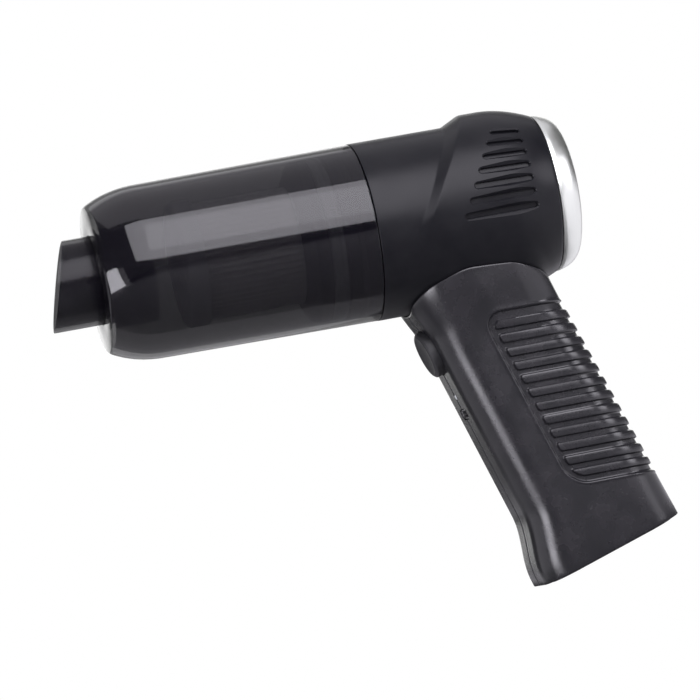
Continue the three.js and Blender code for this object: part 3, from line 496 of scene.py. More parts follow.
COPPER = plain_metal("copper", (0.78, 0.40, 0.24), 0.36)
NICKEL = plain_metal("nickel", (0.66, 0.64, 0.59), 0.3)
PAPER = filter_paper("filter_paper")
CLEAR_LENS = clear_plastic("clear_lens", (0.75, 0.78, 0.8))

# The inner pieces that show their CAD shape.
CAD_FINISHES = {
    INNER_BLACK: ["fan_shroud", "diffuser_plate", "switch_body", "charging_port_tongue", "battery_tray"],
    WHITE_PLASTIC: ["impeller", "switch_plunger"],
    STEEL: [
        "motor_shaft", "front_bearing", "rear_bearing", "motor_screw_left", "motor_screw_right",
        "neck_screw_left", "neck_screw_right", "button_spring", *[f"shell_screw_{i}" for i in (1, 2, 3, 4)],
    ],
    COPPER: ["armature", "commutator"],
    NICKEL: ["nickel_strip_top", "nickel_strip_bottom"],
    MAGNET: ["magnet_top", "magnet_bottom"],
    CARBON: ["brush_left", "brush_right"],
    GREEN_BOARD: ["control_board"],
    CELL_WRAP: ["battery_cell_1", "battery_cell_2"],
    RED_WIRE: ["motor_lead_red"],
    BLACK_WIRE: ["motor_lead_black"],
}
for finish, names in CAD_FINISHES.items():
    for name in names:
        frame["nodes"][name].data.materials.clear()
        frame["nodes"][name].data.materials.append(finish)

# ------------------------ nozzle and dust cup


def build_nozzle():
    """A tube whose mouth is cut at a slant, with a stepped spigot and a groove for its O-ring."""
    step = CUP.front - GAP
    spigot = ORING.outer - 0.1
    groove_front = ORING.x - ORING.width / 2 - GAP
    groove_rear = ORING.x + ORING.width / 2 + GAP
    lip = NOZZLE.lip
    profile = rounded([
        (lip, NOZZLE.inner, 0.5),
        (lip, NOZZLE.radius, 0.5),
        (step, NOZZLE.radius, 0.2),
        (step, spigot),
        (groove_front, spigot),
        (groove_front, ORING.inner - GAP / 2),
        (groove_rear, ORING.inner - GAP / 2),
        (groove_rear, spigot),
        (NOZZLE.spigot_end, spigot, 0.3),
        (NOZZLE.spigot_end, NOZZLE.inner - 0.7, 0.3),
        (step, NOZZLE.inner - 0.7),
        (step - 1, NOZZLE.inner),
    ])
    grid = ring_of(profile)
    # Points at the lip move along the axis to the slanted plane of the mouth.
    turn = math.radians(NOZZLE.turn)
    up_the_slant = grid[..., 1] * math.sin(turn) + grid[..., 2] * math.cos(turn)
    at_lip = grid[..., 0] < lip + 2
    grid[..., 0] += math.tan(math.radians(NOZZLE.slant)) * up_the_slant * at_lip
    return make("nozzle_tube", grid.reshape(-1, 3), grid_faces(*grid.shape[:2]), BARREL)


def build_cup():
    """A thin jar with a rounded shoulder and a collar that runs back from its front wall."""
    front, wall, radius = CUP.front, CUP.wall, CUP.shoulder_radius
    outside = bezier((front, CUP.front_radius), (front + 8, radius), (CUP.shoulder_end, radius), 20)
    inside = bezier(
        (front + wall, CUP.front_radius - wall),
        (front + wall + 8, radius - wall),
        (CUP.shoulder_end, radius - wall),
        16,
    )
    return turned("dust_cup_shell", [
        (front, COLLAR.inner, 0.3),
        (front, CUP.front_radius - 0.5),
        (front + 0.12, CUP.front_radius - 0.12),
        *outside[1:],
        (-GAP, CUP.rear_radius, 0.25),
        (-GAP, CUP.rear_radius - wall, 0.25),
        *inside[::-1],
        (front + wall, COLLAR.outer, 0.4),
        (COLLAR.end, COLLAR.outer, 0.3),
        (COLLAR.end, COLLAR.inner, 0.3),
    ], sides=180)


publish(build_nozzle(), "nozzle", "smoked_shell", SMOKED_SATIN, "inlet_nozzle")
publish(build_cup(), "cup", "smoked_shell", SMOKED, "dust_cup")
oring_ends = (ORING.x - ORING.width / 2, ORING.x + ORING.width / 2)
oring = plain_ring("nozzle_seal_ring", *oring_ends, ORING.inner, ORING.outer, 0.3)
publish(oring, "nozzle_seat", "black_rubber", BLACK_RUBBER, "nozzle_oring")

# ------------------------ filter cartridge


def build_pleats():
    """Folded paper: a closed zigzag sheet of even thickness round the frame's tube."""
    paper = 0.35
    per_pleat = 12
    angles = np.linspace(0, 2 * math.pi, FILTER.pleats * per_pleat, endpoint=False)
    fold = (angles * FILTER.pleats / (2 * math.pi)) % 1
    wave = np.abs(fold * 2 - 1)
    wave = 0.5 - 0.5 * np.cos(math.pi * np.clip(wave * 1.2 - 0.1, 0, 1))
    outer = FILTER.inner + paper + (FILTER.outer - FILTER.inner - paper) * wave
    ends = [FILTER.front + 3 + GAP, FLANGE.front + 1.5]
    loops = []
    for x, radius in [(ends[0], outer), (ends[1], outer), (ends[1], outer - paper), (ends[0], outer - paper)]:
        loops.append(np.stack([x + 0 * angles, radius * np.cos(angles), radius * np.sin(angles)], axis=-1))
    grid = np.stack(loops)
    return make("filter_paper_pleats", grid.reshape(-1, 3), grid_faces(*grid.shape[:2]), BARREL)


def build_filter_cap():
    """The cup-shaped end cap, with a shallow dish and a raised ring in its face."""
    front, end, radius = FILTER.front, FILTER.cap_end, FILTER.cap_radius
    return turned("filter_cap", [
        (front + 1.5, 0),
        (front + 1.5, 6, 0.2),
        (front + 0.9, 6.6, 0.2),
        (front + 0.9, 8, 0.2),
        (front + 1.5, 8.6, 0.2),
        (front + 1.5, radius - 5, 0.4),
        (front, radius - 4, 0.4),
        (front, radius - 0.9, 0.8),
        (front + 1, radius, 0.4),
        (end, radius, 0.2),
        (end, radius - 1, 0.2),
        (front + 3, radius - 1),
        (front + 3, 0),
    ])


def build_filter_frame():
    """A perforated tube with a wide stepped flange."""
    front, rear, rim = FLANGE.front, FLANGE.rear, FLANGE.rim
    inner, outer, tube_front = FLANGE.tube_inner, FLANGE.tube_outer, FLANGE.tube_front
    pocket = FILTER.outer + GAP
    frame_piece = turned("filter_frame_body", [
        (tube_front, inner),
        (tube_front, outer),
        (front + 1.8, outer),
        (front + 1.8, pocket),
        (front - 2, pocket, 0.2),
        (front - 2, FILTER.outer + 1.6, 0.2),
        (front + 1.5, rim, 0.5),
        (rear, rim, 0.4),
        (rear, inner, 0.3),
    ])
    middle = (tube_front + front) / 2
    slots = []
    for i in range(8):
        angle = math.radians(45 * i)
        outline = arc(middle + 12, 0, 3, -90, 90, 8) + arc(middle - 12, 0, 3, 90, 270, 8)
        low = [(x, across, inner - 1) for x, across in outline]
        high = [(x, across, outer + 1) for x, across in outline]
        turn = Matrix.Rotation(angle, 4, "X")
        slots.append(prism("slot", low, high, BARREL @ turn))
    return combine(frame_piece, slots)


publish(build_filter_cap(), "filter", "inner_black", CAP_GREY, "filter_end_cap")
publish(build_pleats(), "filter", "filter_paper", PAPER, "filter_pleats", crease=60)
publish(build_filter_frame(), "filter", "inner_black", INNER_BLACK, "filter_frame")
gasket_front = FLANGE.rear + GAP
gasket = turned("filter_gasket_ring", [
    (gasket_front, GASKET.inner, 0.5),
    (gasket_front, GASKET.outer, 0.5),
    (gasket_front + 1.2, GASKET.outer, 0.2),
    (gasket_front + 1.7, GASKET.waist, 0.2),
    (gasket_front + 2.9, GASKET.waist, 0.2),
    (gasket_front + 3.4, GASKET.outer, 0.2),
    (FILTER.rear, GASKET.outer, 0.5),
    (FILTER.rear, GASKET.inner, 0.5),
])
publish(gasket, "filter", "grey_rubber", GREY_RUBBER, "filter_gasket")

# ------------------------ motor housing


def taper_drop(x):
    """How far the hood's surface has dropped at x, towards the silver ring."""
    length = HOUSING.end - TAPER.start
    share = np.clip((x - TAPER.start) / length, 0, 1)
    return (HOOD.radius - HOOD.end_radius) * share ** TAPER.power


def lifted_radius(radius, angles):
    """Distance from the barrel's axis to a circle about the hood's axis, at angles above the horizontal."""
    lift = HOOD.lift
    return lift * np.sin(angles) + np.sqrt(radius**2 - (lift * np.cos(angles)) ** 2)


def front_radius(x):
    """The housing's plain radius, before the hood."""
    return HOUSING.radius - TAPER.front_share * taper_drop(x)


def build_housing():
    """A plain front, a slanted step up to the hood, a taper, and the spigot that the cup fits on."""
    angles = np.linspace(0, 2 * math.pi, 240, endpoint=False)
    height = HOUSING.radius * np.sin(angles)
    no_step_below = -12
    held = np.maximum(height, no_step_below)
    step_start = HOOD.step + HOOD.slope * held
    step_width = 3.5 + 3 * np.clip(held / HOUSING.radius, 0, 1) ** 2
    soften = 0.12

    def rise_along(t):
        if t < soften:
            return (t + soften) ** 2 / (4 * soften)
        if t > 1 - soften:
            return 1 - (1 + soften - t) ** 2 / (4 * soften)
        return t

    rows = []

    def add_row(x, radius):
        x = x + 0 * angles
        radius = radius + 0 * angles
        rows.append(np.stack([x, radius * np.cos(angles), radius * np.sin(angles)], axis=-1))

    def hood_rise(x):
        over = lifted_radius(HOOD.radius - taper_drop(x), angles) - front_radius(x)
        return 0.5 * (over + np.sqrt(over**2 + 0.02))

    edge = 0.3
    radius, end = HOUSING.radius, HOUSING.end
    for x, out in bezier((0, radius - edge), (0, radius), (edge, radius), 4):
        add_row(x, out)
    for share in np.linspace(0.1, 0.95, 10):
        add_row(edge + share * (step_start - soften * step_width - edge), radius)
    for t in [-soften, -0.06, 0, 0.06, soften, 0.3, 0.5, 0.7, 1 - soften, 0.94, 1, 1.06, 1 + soften]:
        x = step_start + t * step_width
        add_row(x, front_radius(x) + hood_rise(x) * max(0.0, rise_along(t)))
    step_end = step_start + (1 + soften) * step_width
    for share in np.linspace(0.1, 1, 10):
        x = step_end + share * (TAPER.start - step_end)
        add_row(x, front_radius(x) + hood_rise(x))
    for x in np.linspace(TAPER.start + 1, end - edge, 20):
        add_row(x, front_radius(x) + hood_rise(x))
    rim = front_radius(end) + hood_rise(end)
    for x, inset in bezier((end - edge / 2, 0.05), (end, 0.1), (end, edge), 3):
        add_row(x, rim - inset)
    add_row(end, lifted_radius(HOOD.outlet, angles))
    add_row(OUTLET_POCKET, lifted_radius(HOOD.outlet, angles))
    for x, thicker in HOUSING_BORE:
        add_row(x, HOUSING.inner - thicker)
    spigot, bore, front = HOUSING.spigot, HOUSING.spigot_inner, HOUSING.spigot_end
    groove_floor = spigot - SEAL_GROOVE.depth
    for x, out in [
        (1, bore), (front + 0.4, bore), (front, bore + 0.4), (front, spigot - 0.5), (front + 0.5, spigot),
        (SEAL_GROOVE.front, spigot), (SEAL_GROOVE.front, groove_floor), (SEAL_GROOVE.rear, groove_floor),
        (SEAL_GROOVE.rear, spigot), (0, spigot),
    ]:
        add_row(x, out)
    grid = np.stack(rows)
    housing = make("housing_shell", grid.reshape(-1, 3), grid_faces(*grid.shape[:2]), BARREL)
    cutters = [vent_cutter(index, side) for index in range(VENTS.count) for side in (-1, 1)]
    return combine(housing, cutters)


def vent_cutter(index, side):
    """A shallow blind slot with round ends, with a small chamfer round its mouth."""
    length = VENTS.longest - VENTS.shorten * index
    angle = math.radians(VENTS.first_angle + VENTS.pitch * index)
    half = VENTS.width / 2
    loops = []
    for depth, grow in [(1.2, 1.55), (0.02, 0.4), (-0.36, 0), (-VENTS.depth, 0)]:
        reach = half + grow
        outline = arc(VENTS.rear_end - half, 0, reach, -90, 90, 10)
        outline += arc(VENTS.rear_end - length + half, 0, reach, 90, 270, 10)
        loop = []
        for x, across in outline:
            radius = HOOD.radius - float(taper_drop(x)) + depth
            around = angle + across / HOOD.radius
            loop.append((x, side * radius * math.cos(around), radius * math.sin(around)))
        loops.append(loop)
    return stack("vent", loops, LIFTED)


publish(build_housing(), "main_body", "satin_black", SATIN_BLACK, "motor_housing", crease=28)
seal_front, seal_rear = SEAL_GROOVE.front + GAP, SEAL_GROOVE.rear - GAP
seal_inner = HOUSING.spigot - SEAL_GROOVE.depth + GAP / 2
seal = turned("cup_seal_ring", [
    (seal_front, seal_inner, 0.4),
    (seal_front, seal_inner + SEAL_GROOVE.depth, 0.3),
    (seal_rear, seal_inner + SEAL_GROOVE.depth, 0.3),
    (seal_rear, seal_inner, 0.4),
])
publish(seal, "main_body", "black_rubber", BLACK_RUBBER, "cup_seal")

# ------------------------ silver ring and grilles


def build_silver_ring():
    """The convex ring round the outlet, with a rolled inner lip."""
    end, end_radius, rim = RING.end, RING.end_radius, HOOD.end_radius
    crown = bezier((RING.start, rim), (end - 0.6, rim - 1.2), (end, end_radius), 18)
    return turned("silver_end_ring", [
        (60, RING.spigot_inner),
        (60, RING.spigot),
        (RING.start, RING.spigot),
        (RING.start, rim - 0.25),
        *crown[1:],
        (end, end_radius - 0.5, 0.2),
        (end - 0.4, RING.lip, 0.3),
        (RING.start + 3.2, RING.lip),
        (RING.start + 3.2, RING.spigot_inner),
    ], LIFTED, sides=200)


publish(build_silver_ring(), "main_body", "silver_plate", SILVER, "silver_ring")

OUTLET_RINGS = [
    {"inner": 5, "outer": 11, "count": 4, "spoke": 16},
    {"inner": 13, "outer": 19.6, "count": 8, "spoke": 8},
]
INTAKE_RINGS = [
    {"inner": 6, "outer": 14, "count": 4, "spoke": 14},
    {"inner": 16, "outer": 23.5, "count": 8, "spoke": 8},
]
BRACKET_RINGS = [{"inner": 21.8, "outer": 25.4, "count": 6, "spoke": 20}]
outlet_rim = circle(0, 0, RING.spigot_inner - GAP)
intake_rim = circle(0, 0, HOUSING.spigot_inner - GAP)
bracket_rim = circle(0, 0, 26.3)
bracket_holes = [circle(0, 0, 20.4), *windows(BRACKET_RINGS)]
for node, name, outline, holes, start, thickness, edge, place in [
    ("outlet_grille", "outlet_guard", outlet_rim, windows(OUTLET_RINGS), 64.4, 2.2, 0.35, LIFTED),
    ("intake_grille", "intake_guard", intake_rim, windows(INTAKE_RINGS), -10.6, 1.6, 0.3, BARREL),
    ("motor_bracket", "motor_rear_bracket", bracket_rim, bracket_holes, 50.5, 3, 0.3, BARREL),
]:
    plate = flat_plate(name, outline, holes, start, thickness, edge, place)
    publish(plate, "main_body", "inner_black", INNER_BLACK, node)

# ------------------------ motor


def build_motor_can():
    """A drawn steel can with a rounded front and a bearing pocket."""
    front, radius, wall, end = MOTOR.front, MOTOR.radius, MOTOR.wall, MOTOR.can_end
    bearing = MOTOR.bearing
    return turned("motor_drawn_can", [
        (front, 3.4),
        (front, radius - 0.2, 1.2),
        (front + 1.6, radius, 0.4),
        (end, radius, 0.2),
        (end, radius - wall, 0.2),
        (front + 2, radius - wall),
        (front + 2, bearing + wall),
        (front + 4.4, bearing + wall, 0.3),
        (front + 4.4, bearing),
        (front + 0.8, bearing),
        (front + 0.8, 3.4),
    ])


def build_end_bell():
    """The white moulded end of the motor, with a stepped boss over the rear bearing."""
    radius, can_end, end, bearing = MOTOR.radius, MOTOR.can_end, MOTOR.bell_end, MOTOR.bearing
    return turned("motor_moulded_end", [
        (can_end - 3, radius - 2.9),
        (can_end - 3, radius - 1.5),
        (can_end + GAP, radius - 1.5),
        (can_end + GAP, radius),
        (end - 1.4, radius, 0.6),
        (end - 0.6, radius - 1.4, 0.4),
        (end - 0.6, 8.2, 0.2),
        (end, 7.6, 0.3),
        (end, 2.2, 0.2),
        (end - 0.8, 2.2),
        (end - 0.8, bearing),
        (can_end - 0.8, bearing),
        (can_end - 0.8, bearing + 1.4),
        (can_end + 1.2, bearing + 1.4),
        (can_end + 1.2, radius - 2.9),
    ])


publish(build_motor_can(), "main_body", "steel", STEEL, "motor_can")
publish(build_end_bell(), "main_body", "white_plastic", WHITE_PLASTIC, "motor_end_bell")
damper_inner = MOTOR.radius + GAP
damper = plain_ring("motor_rubber_ring", DAMPER.front, DAMPER.rear, damper_inner, DAMPER.outer, 0.4)
publish(damper, "main_body", "black_rubber", BLACK_RUBBER, "motor_damper_ring")

# ------------------------ handle shells


def handle_columns():
    """Half of the handle's plan from the front seam to the back seam on the -Y side.

    Gives each column's place, its outward direction, and how far round the plan it is from the panel's front.
    """
    front, rear, half_width = HANDLE.front, HANDLE.rear, HANDLE.half_width
    front_corner, rear_corner = HANDLE.front_corner, HANDLE.rear_corner
    by_seam = [SEAM, 0.3, 0.5, 0.8]
    places = []
    for y in [*by_seam, *np.arange(1.6, half_width - front_corner, 0.9)]:
        places.append((front, -y, -1, 0))
    for angle in np.radians(np.linspace(180, 270, 17)):
        out = (math.cos(angle), math.sin(angle))
        x = front + front_corner + front_corner * out[0]
        places.append((x, -(half_width - front_corner) + front_corner * out[1], *out))
    fine_from, fine_to = PANEL.front - 1.2, PANEL.front + 8
    for start, end, step in [
        (front + front_corner + 0.8, fine_from, 0.8),
        (fine_from, fine_to, 0.28),
        (fine_to, rear - rear_corner - 0.2, 0.8),
    ]:
        places += [(x, -half_width, 0, -1) for x in np.arange(start, end, step)]
    for angle in np.radians(np.linspace(270, 360, 27)):
        out = (math.cos(angle), math.sin(angle))
        x = rear - rear_corner + rear_corner * out[0]
        places.append((x, -(half_width - rear_corner) + rear_corner * out[1], *out))
    for y in [*np.arange(half_width - rear_corner - 0.8, 1.2, -0.8), *by_seam[::-1]]:
        places.append((rear, -y, 1, 0))
    plan = np.array(places)
    steps = np.hypot(*np.diff(plan[:, :2], axis=0).T)
    travelled = np.concatenate([[0], np.cumsum(steps)])
    at_panel = travelled[np.argmin(np.abs(plan[:, 0] - PANEL.front) + 100 * (plan[:, 3] > -0.99))]
    return plan, travelled - at_panel


def warped(x, y, z):
    """The plan's change with height: a toe at the base, a neck into the barrel, and a lean at the back."""
    toe = -TOE.flare * (1 - ramp(z, TOE.bottom, TOE.top))
    neck = -NECK.flare * ramp(z, NECK.start, NECK.end)
    lean = LEAN.at_base + LEAN.per_height * z
    back_share = np.clip((x - HANDLE.front) / (HANDLE.rear - HANDLE.front), 0, 1)
    to_full = ramp(x, FRONT_WIDEN.start, FRONT_WIDEN.end)
    share = FRONT_WIDEN.share + (1 - FRONT_WIDEN.share) * to_full
    widen = 1 + NECK.widen * share * ramp(z, NECK.widen_from, NECK.widen_to) / HANDLE.half_width
    return x + (toe + neck) * (1 - back_share) + lean * back_share, y * widen


def barrel_place(x, z):
    """A point of the handle in the barrel's frame."""
    dx, dz = x - BARREL_X, z - BARREL_Z
    return dx * TILT_COS - dz * TILT_SIN, dx * TILT_SIN + dz * TILT_COS


def height_at_depth(x, depth):
    """Height of the plane parallel to the barrel at that depth below its axis."""
    return BARREL_Z + (depth - (x - BARREL_X) * TILT_SIN) / TILT_COS


def panel_relief(around, depth, by_seam):
    """How far the surface stands out of the plan: the recessed panel, its bars, and the seam's groove."""
    middle = (PANEL.top + PANEL.bottom) / 2
    half = (PANEL.top - PANEL.bottom) / 2
    corner = PANEL.corner
    along = corner - around
    across = np.abs(depth - middle) - (half - corner)
    in_corner = (along > 0) & (across > 0)
    outside = np.where(in_corner, np.hypot(along, across) - corner, np.maximum(along, across) - corner)
    recess = ramp(-outside, -0.1, 0.45)
    bead = 0.16 * np.exp(-(((outside - 0.45) / 0.4) ** 2))
    bar = np.clip(np.round((BARS.first - depth) / BARS.pitch), 0, BARS.count - 1)
    from_bar = np.abs(depth - (BARS.first - BARS.pitch * bar))
    end_along = BARS.inset + BARS.end_corner - around
    end_across = from_bar - (BARS.half - BARS.end_corner)
    at_end = (end_along > 0) & (end_across > 0)
    off_bar = np.where(at_end, np.hypot(end_along, end_across), np.maximum(end_along, end_across))
    off_bar = np.maximum(off_bar - BARS.end_corner, outside + BARS.inset)
    stand = ramp(-off_bar, -0.12, 0.3) * (1 - 0.12 * np.clip(from_bar / BARS.half, 0, 1) ** 2)
    relief = -PANEL.depth * recess + BARS.height * stand * (outside < 0) + bead
    groove = 0.3 * (1 - np.clip((by_seam - SEAM) / 0.4, 0, 1))
    return relief - groove


def handle_row(plan, around, height, out_by, relief_share):
    """One row of the shell's surface, moved out_by along the plan's outward direction.

    height(x, y) gives z, so the row is settled in a few rounds.
    """
    by_seam = np.abs(plan[:, 1])
    out = out_by + 0 * by_seam
    x, y = plan[:, 0], plan[:, 1]
    z = height(x, y)
    for _ in range(5):
        if relief_share:
            depth = barrel_place(x, z)[1]
            out = out_by + panel_relief(around, depth, by_seam) * relief_share
        x, y = warped(plan[:, 0] + plan[:, 2] * out, plan[:, 1] + plan[:, 3] * out, z)
        z = height(x, y)
    y = np.where(by_seam < SEAM + 0.01, plan[:, 1], y)
    return np.stack([x, y, z], axis=-1)


def barrel_rest(lift):
    """Height function of the surface that lies the given distance outside the barrel's clearance."""

    def height(x, y):
        z = height_at_depth(x, -HOUSING.radius)
        for _ in range(4):
            radius = front_radius(barrel_place(x, z)[0]) + GAP + lift
            z = height_at_depth(x, -np.sqrt(np.maximum(radius**2 - y**2, 1)))
        return z

    return height


def slanted(level, slant, pivot):
    """Height function of a plane at level over the pivot, between flat and parallel with the barrel."""
    return lambda x, y: level - slant * (TILT_SIN / TILT_COS) * (x - pivot)


def build_handle_half():
    """One shell as a closed loop of rows, outside from the base to the barrel and back down inside."""
    plan, around = handle_columns()
    pivot = PANEL.front
    bottom = HANDLE.bottom
    rows = []
    for lift, inset in [(0, 0.28), (0.03, 0.14), (0.12, 0.04), (0.3, 0)]:
        rows.append(handle_row(plan, around, slanted(bottom + lift, 0, pivot), -inset, 0))
    below_panel = height_at_depth(pivot, PANEL.bottom - 1.5)
    for level in np.linspace(bottom + 1.5, below_panel, 18):
        slant = float(ramp(level, bottom, below_panel))
        rows.append(handle_row(plan, around, slanted(level, slant, pivot), 0, 1))
    panel_rows = int((PANEL.top - PANEL.bottom + 3) / 0.25)
    for depth in np.linspace(PANEL.bottom - 1.4, PANEL.top + 1.0, panel_rows):
        rows.append(handle_row(plan, around, lambda x, y, d=depth: height_at_depth(x, d), 0, 1))
    top_depth = PANEL.top + 1.0
    rest = barrel_rest(0.6)
    for share in np.linspace(0.08, 1, 12):

        def blend_up(x, y, s=share):
            return (1 - s) * height_at_depth(x, top_depth) + s * rest(x, y)

        rows.append(handle_row(plan, around, blend_up, 0, 1))
    for lift, inset in [(0.35, 0.03), (0.18, 0.12), (0.05, 0.3), (0, 0.55)]:
        rows.append(handle_row(plan, around, barrel_rest(lift), -inset, 0))
    wall = HANDLE.wall
    rows.append(handle_row(plan, around, barrel_rest(0), -wall, 0))
    for depth in np.linspace(PANEL.top, PANEL.bottom, 9):
        rows.append(handle_row(plan, around, lambda x, y, d=depth: height_at_depth(x, d), -wall, 0))
    for level in np.linspace(below_panel - 3, bottom, 6):
        slant = float(ramp(level, bottom, below_panel))
        rows.append(handle_row(plan, around, slanted(level, slant, pivot), -wall, 0))
    grid = np.stack(rows)
    count, columns = grid.shape[:2]
    faces = grid_faces(count, columns, close_columns=False)
    faces.append(tuple(row * columns for row in range(count)))
    faces.append(tuple(row * columns + columns - 1 for row in range(count))[::-1])
    return grid, faces


def front_cutters():
    """Cutters for the button, the light and the charging port, from before the handle to behind its wall."""
    before, behind = -40, -15
    loop = stadium(PORT.half_width + GAP, PORT.half_height + GAP)
    port_loops = [[(x, y, PORT.z + z) for y, z in loop] for x in (before, behind + 1)]
    return [
        rod_along_x(0, BUTTON.z, BUTTON.radius + 0.4, before, behind, 96),
        rod_along_x(0, LED.z, LED.radius + 0.2, before, behind, 32),
        prism("port_hole", *port_loops, UPRIGHT),
    ]


def screw_cutters(x, z, side):
    """A counterbored hole in the shell that the screws go in from, or a blind one in the other's posts."""
    if side < 0:
        return [rod_along_y(x, z, SCREW.shank + GAP / 2, SCREW.tip, 1, 24)]
    outside = 30
    return [
        rod_along_y(x, z, SCREW.head + GAP, SCREW.seat, outside, 32),
        rod_along_y(x, z, SCREW.shank + GAP, -1, outside, 24),
    ]


half_grid, half_faces = build_handle_half()
for side, node in ((-1, "handle_shell_left"), (1, "handle_shell_right")):
    points = half_grid.copy()
    points[..., 1] *= -side
    shell = make(node.replace("shell", "grip"), points.reshape(-1, 3), half_faces, UPRIGHT)
    posts = [rod_along_y(x, z, SCREW.post, side * SEAM, side * reach, 32) for x, z, reach in SCREWS]
    combine(shell, posts, "UNION")
    cutters = front_cutters()
    for x, z, _ in SCREWS:
        cutters += screw_cutters(x, z, side)
    combine(shell, cutters)
    publish(shell, "main_body", "grained_black", GRAINED_BLACK, node, crease=40)


def build_base_plate():
    """The plate that closes the base: a rounded edge and a shallow field in its underside."""
    plan, around = handle_columns()
    outline = [(2.2, 2.7), (2.1, 2.3), (0.3, 2.3), (0.09, 2.39), (0, 2.6), (0, 5), (0.4, 5.4)]
    rows = []
    for z, inset in [outline[0], *outline, outline[-1]]:
        half = handle_row(plan, around, lambda x, y, level=z: level + 0 * x, -inset, 0)
        mirror = half[::-1] * (1, -1, 1)
        rows.append(np.concatenate([half, mirror]))
    # The first and the last row draw in to a point, which closes the top and the underside.
    grid = np.stack(rows)
    for row in (0, -1):
        grid[row, :, :2] = (2, 0)
    return make("base_cover", grid.reshape(-1, 3), grid_faces(*grid.shape[:2], close_rows=False), UPRIGHT)


publish(build_base_plate(), "main_body", "inner_black", INNER_BLACK, "handle_base_plate")

# ------------------------ button, light, port and screws


def build_button():
    """A thick round button with a slightly dished face and a soft rim, on a flange and stem."""
    face, radius, flange = BUTTON.face, BUTTON.radius, BUTTON.flange
    place = UPRIGHT @ Matrix.Translation((0, 0, BUTTON.z))
    dish = bezier((face + 0.55, 0), (face + 0.5, radius * 0.5), (face + 0.12, radius * 0.78), 8)
    return turned("push_button", [
        *dish,
        (face, radius * 0.84, 0.3),
        (face + 0.05, radius - 0.9, 0.25),
        (face + 0.75, radius, 0.4),
        (flange, radius),
        (flange, BUTTON.flange_radius),
        (flange + 1.1, BUTTON.flange_radius),
        (flange + 1.1, BUTTON.stem),
        (BUTTON.end, BUTTON.stem, 0.3),
        (BUTTON.end, 0),
    ], place, sides=96)


def build_lens():
    """A small domed light pipe."""
    place = UPRIGHT @ Matrix.Translation((0, 0, LED.z))
    radius, front, end = LED.radius, LED.dome, LED.end
    dome = bezier((front, 0), (front, radius), (front + 0.6, radius), 6)
    return turned("light_lens", [*dome, (end, radius), (end, 0)], place, sides=40)


def build_port():
    """The drawn metal shell of the charging socket: a stadium tube with a closed back."""
    mouth, back, wall = PORT.mouth, PORT.back, PORT.wall
    edge = 0.08
    closed = PORT.half_height - 0.02
    loops = []
    for x, inset in [
        (back, closed), (back, 0.1), (back - 0.1, 0), (mouth + edge, 0), (mouth, edge), (mouth, wall - edge),
        (mouth + edge, wall), (back - 0.6, wall), (back - 0.6, closed),
    ]:
        loop = stadium(PORT.half_width - inset, PORT.half_height - inset, 12)
        loops.append([(x, y, PORT.z + z) for y, z in loop])
    return stack("socket_shell", loops, UPRIGHT)


publish(build_button(), "button", "satin_black", BUTTON_BLACK, "power_button")
publish(build_lens(), "main_body", "clear_lens", CLEAR_LENS, "led_lens")
publish(build_port(), "main_body", "steel", STEEL, "charging_port_shell")

# ------------------------ camera, floor and light

VIEW_TURN = math.radians(11)
VIEW_ROLL = math.radians(27.74)
VIEW_DISTANCE = 1.42
VIEW_LENS = 216.8
TARGET = Vector((-46.3, 0, 100.85)) * MM
forward = Vector((math.sin(VIEW_TURN), math.cos(VIEW_TURN), 0))
level = Vector((math.cos(VIEW_TURN), -math.sin(VIEW_TURN), 0))
up = Vector((0, 0, 1))
image_right = level * math.cos(VIEW_ROLL) - up * math.sin(VIEW_ROLL)
image_up = level * math.sin(VIEW_ROLL) + up * math.cos(VIEW_ROLL)

camera_data = bpy.data.cameras.new("camera")
camera_data.lens = VIEW_LENS
camera_data.clip_end = 100
camera = bpy.data.objects.new("camera", camera_data)
facing = Matrix((image_right, image_up, -forward)).transposed().to_4x4()
camera.matrix_world = Matrix.Translation(TARGET - forward * VIEW_DISTANCE) @ facing
bpy.context.scene.collection.objects.link(camera)
bpy.context.scene.camera = camera

LIGHT_TINT = (0.985, 0.96, 1.04)


def softbox(name, direction, size, radiance, across, distance=1.1):
    """A rectangular light that faces the object from a direction, its size across and then the other way."""
    direction = direction.normalized()
    data = bpy.data.lights.new(name, "AREA")
    data.shape = "RECTANGLE"
    data.size, data.size_y = size
    data.energy = radiance * math.pi * size[0] * size[1]
    data.color = LIGHT_TINT
    light = bpy.data.objects.new(name, data)
    across = (across - direction * across.dot(direction)).normalized()
    facing = Matrix((across, direction.cross(across), direction)).transposed().to_4x4()
    light.matrix_world = Matrix.Translation(TARGET + direction * distance) @ facing
    light.visible_camera = False
    bpy.context.scene.collection.objects.link(light)
    return light


# The main lights are set out from the barrel as the camera sees it: along its axis and above it.
barrel_across = (ALONG - forward * ALONG.dot(forward)).normalized()
barrel_above = barrel_across.cross(forward).normalized()


def over_camera(above, sideways=0.0):
    """A direction from the object, in degrees above the camera's, and a share along the barrel."""
    angle = math.radians(above)
    return -forward * math.cos(angle) + barrel_above * math.sin(angle) + barrel_across * sideways


key_across = barrel_across + barrel_above * 0.14
softbox("key", over_camera(43, 0.26), (0.76, 0.82), 4.2, key_across, 0.8)
softbox("key_core", over_camera(46, 0.36), (0.44, 0.5), 1.4, key_across, 0.78)
softbox("overhead", over_camera(106), (1.3, 1.55), 0.66, barrel_across)
softbox("right", Vector((0.87, -0.48, -0.1)), (0.4, 0.8), 6.0, forward)
softbox("left", Vector((-0.755, -0.655, -0.06)), (0.5, 0.95), 9.5, level)
softbox("left_wide", Vector((-1, 0.15, 0)), (1.1, 1.0), 0.95, forward)
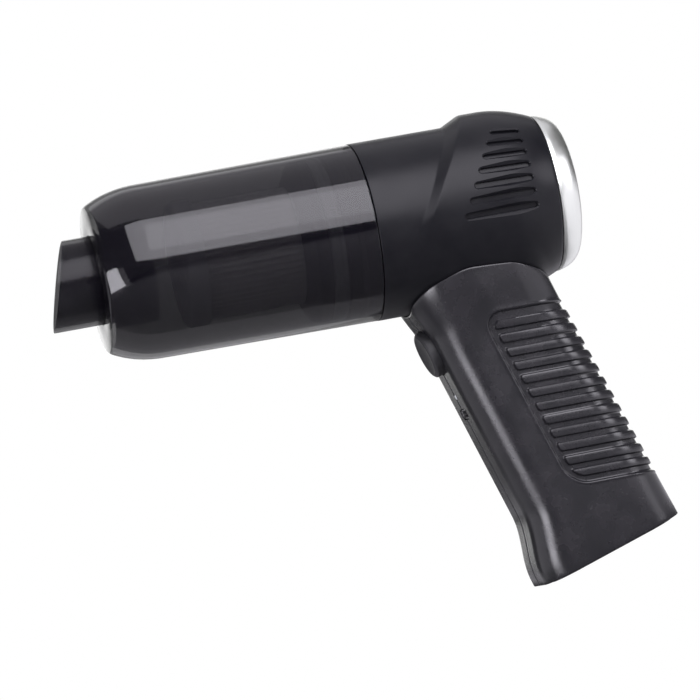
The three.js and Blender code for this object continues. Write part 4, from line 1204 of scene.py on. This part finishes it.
# Two lights lie on the floor and shine up.
for name, size, middle, radiance in [
    ("behind_left", (0.52, 0.5), (-0.29, 0.245, 0.0005), 0.38),
    ("right_low", (0.5, 0.7), (0.31, -0.05, 0.0005), 0.75),
]:
    softbox(name, Vector((0, 0, -1)), size, radiance, Vector((1, 0, 0))).location = middle


def either(tree, switch, off, on):
    """A shader that is off where the switch is 0 and on where it is 1."""
    mix = add_node(tree, "ShaderNodeMixShader")
    for socket, source in zip(mix.inputs, (switch, off, on)):
        tree.links.new(source, socket)
    return mix.outputs[0]


def seen_by_camera(tree):
    """1 where the camera looks straight at a surface or the room, and 0 for light and reflections."""
    return add_node(tree, "ShaderNodeLightPath").outputs["Is Camera Ray"]


WHITE = (1, 1, 1, 1)
FLOOR_SIZE = 6000
floor_points = [(-1, -1, 0), (1, -1, 0), (1, 1, 0), (-1, 1, 0)]
floor = make("floor", np.array(floor_points) * FLOOR_SIZE / 2, [(0, 1, 2, 3)], UPRIGHT)
floor.location.z = cad_box[0][2] - 0.0005
material, tree, shader = new_material("floor_paper")
tone = blended(tree, object_noise(tree, 30.0), (0.20, 0.20, 0.20), (0.22, 0.22, 0.22))
feed(shader, "Base Color", tone)
shader.inputs["Roughness"].default_value = 0.9
glow = add_node(tree, "ShaderNodeEmission", Color=WHITE, Strength=1.0)
above = either(tree, seen_by_camera(tree), shader.outputs[0], glow.outputs[0])
# The sheet is clear from below, so that the underside can be looked at.
side_seen = add_node(tree, "ShaderNodeNewGeometry")
clear = add_node(tree, "ShaderNodeBsdfTransparent")
one_sided = either(tree, side_seen.outputs["Backfacing"], above, clear.outputs[0])
tree.links.new(one_sided, tree.nodes["Material Output"].inputs["Surface"])
floor.data.materials.append(material)

# The room is brighter behind the object than behind the camera, and the camera sees it as plain white.
world = bpy.data.worlds.new("studio")
world.use_nodes = True
bpy.context.scene.world = world
tree = world.node_tree
room = tree.nodes["Background"]
place = add_node(tree, "ShaderNodeTexCoord")
facing_wall = add_node(tree, "ShaderNodeVectorMath", operation="DOT_PRODUCT")
facing_wall.inputs[1].default_value = forward
tree.links.new(place.outputs["Generated"], facing_wall.inputs[0])
wall = spread(tree, facing_wall.outputs["Value"], 0.10, 1.7, 0.88, 0.97)
tree.links.new(wall, room.inputs["Strength"])
room.inputs["Color"].default_value = WHITE
backdrop = add_node(tree, "ShaderNodeBackground", Color=WHITE, Strength=1.0)
lit = either(tree, seen_by_camera(tree), room.outputs[0], backdrop.outputs[0])
tree.links.new(lit, tree.nodes["World Output"].inputs["Surface"])

bpy.context.scene.view_settings.view_transform = "Standard"
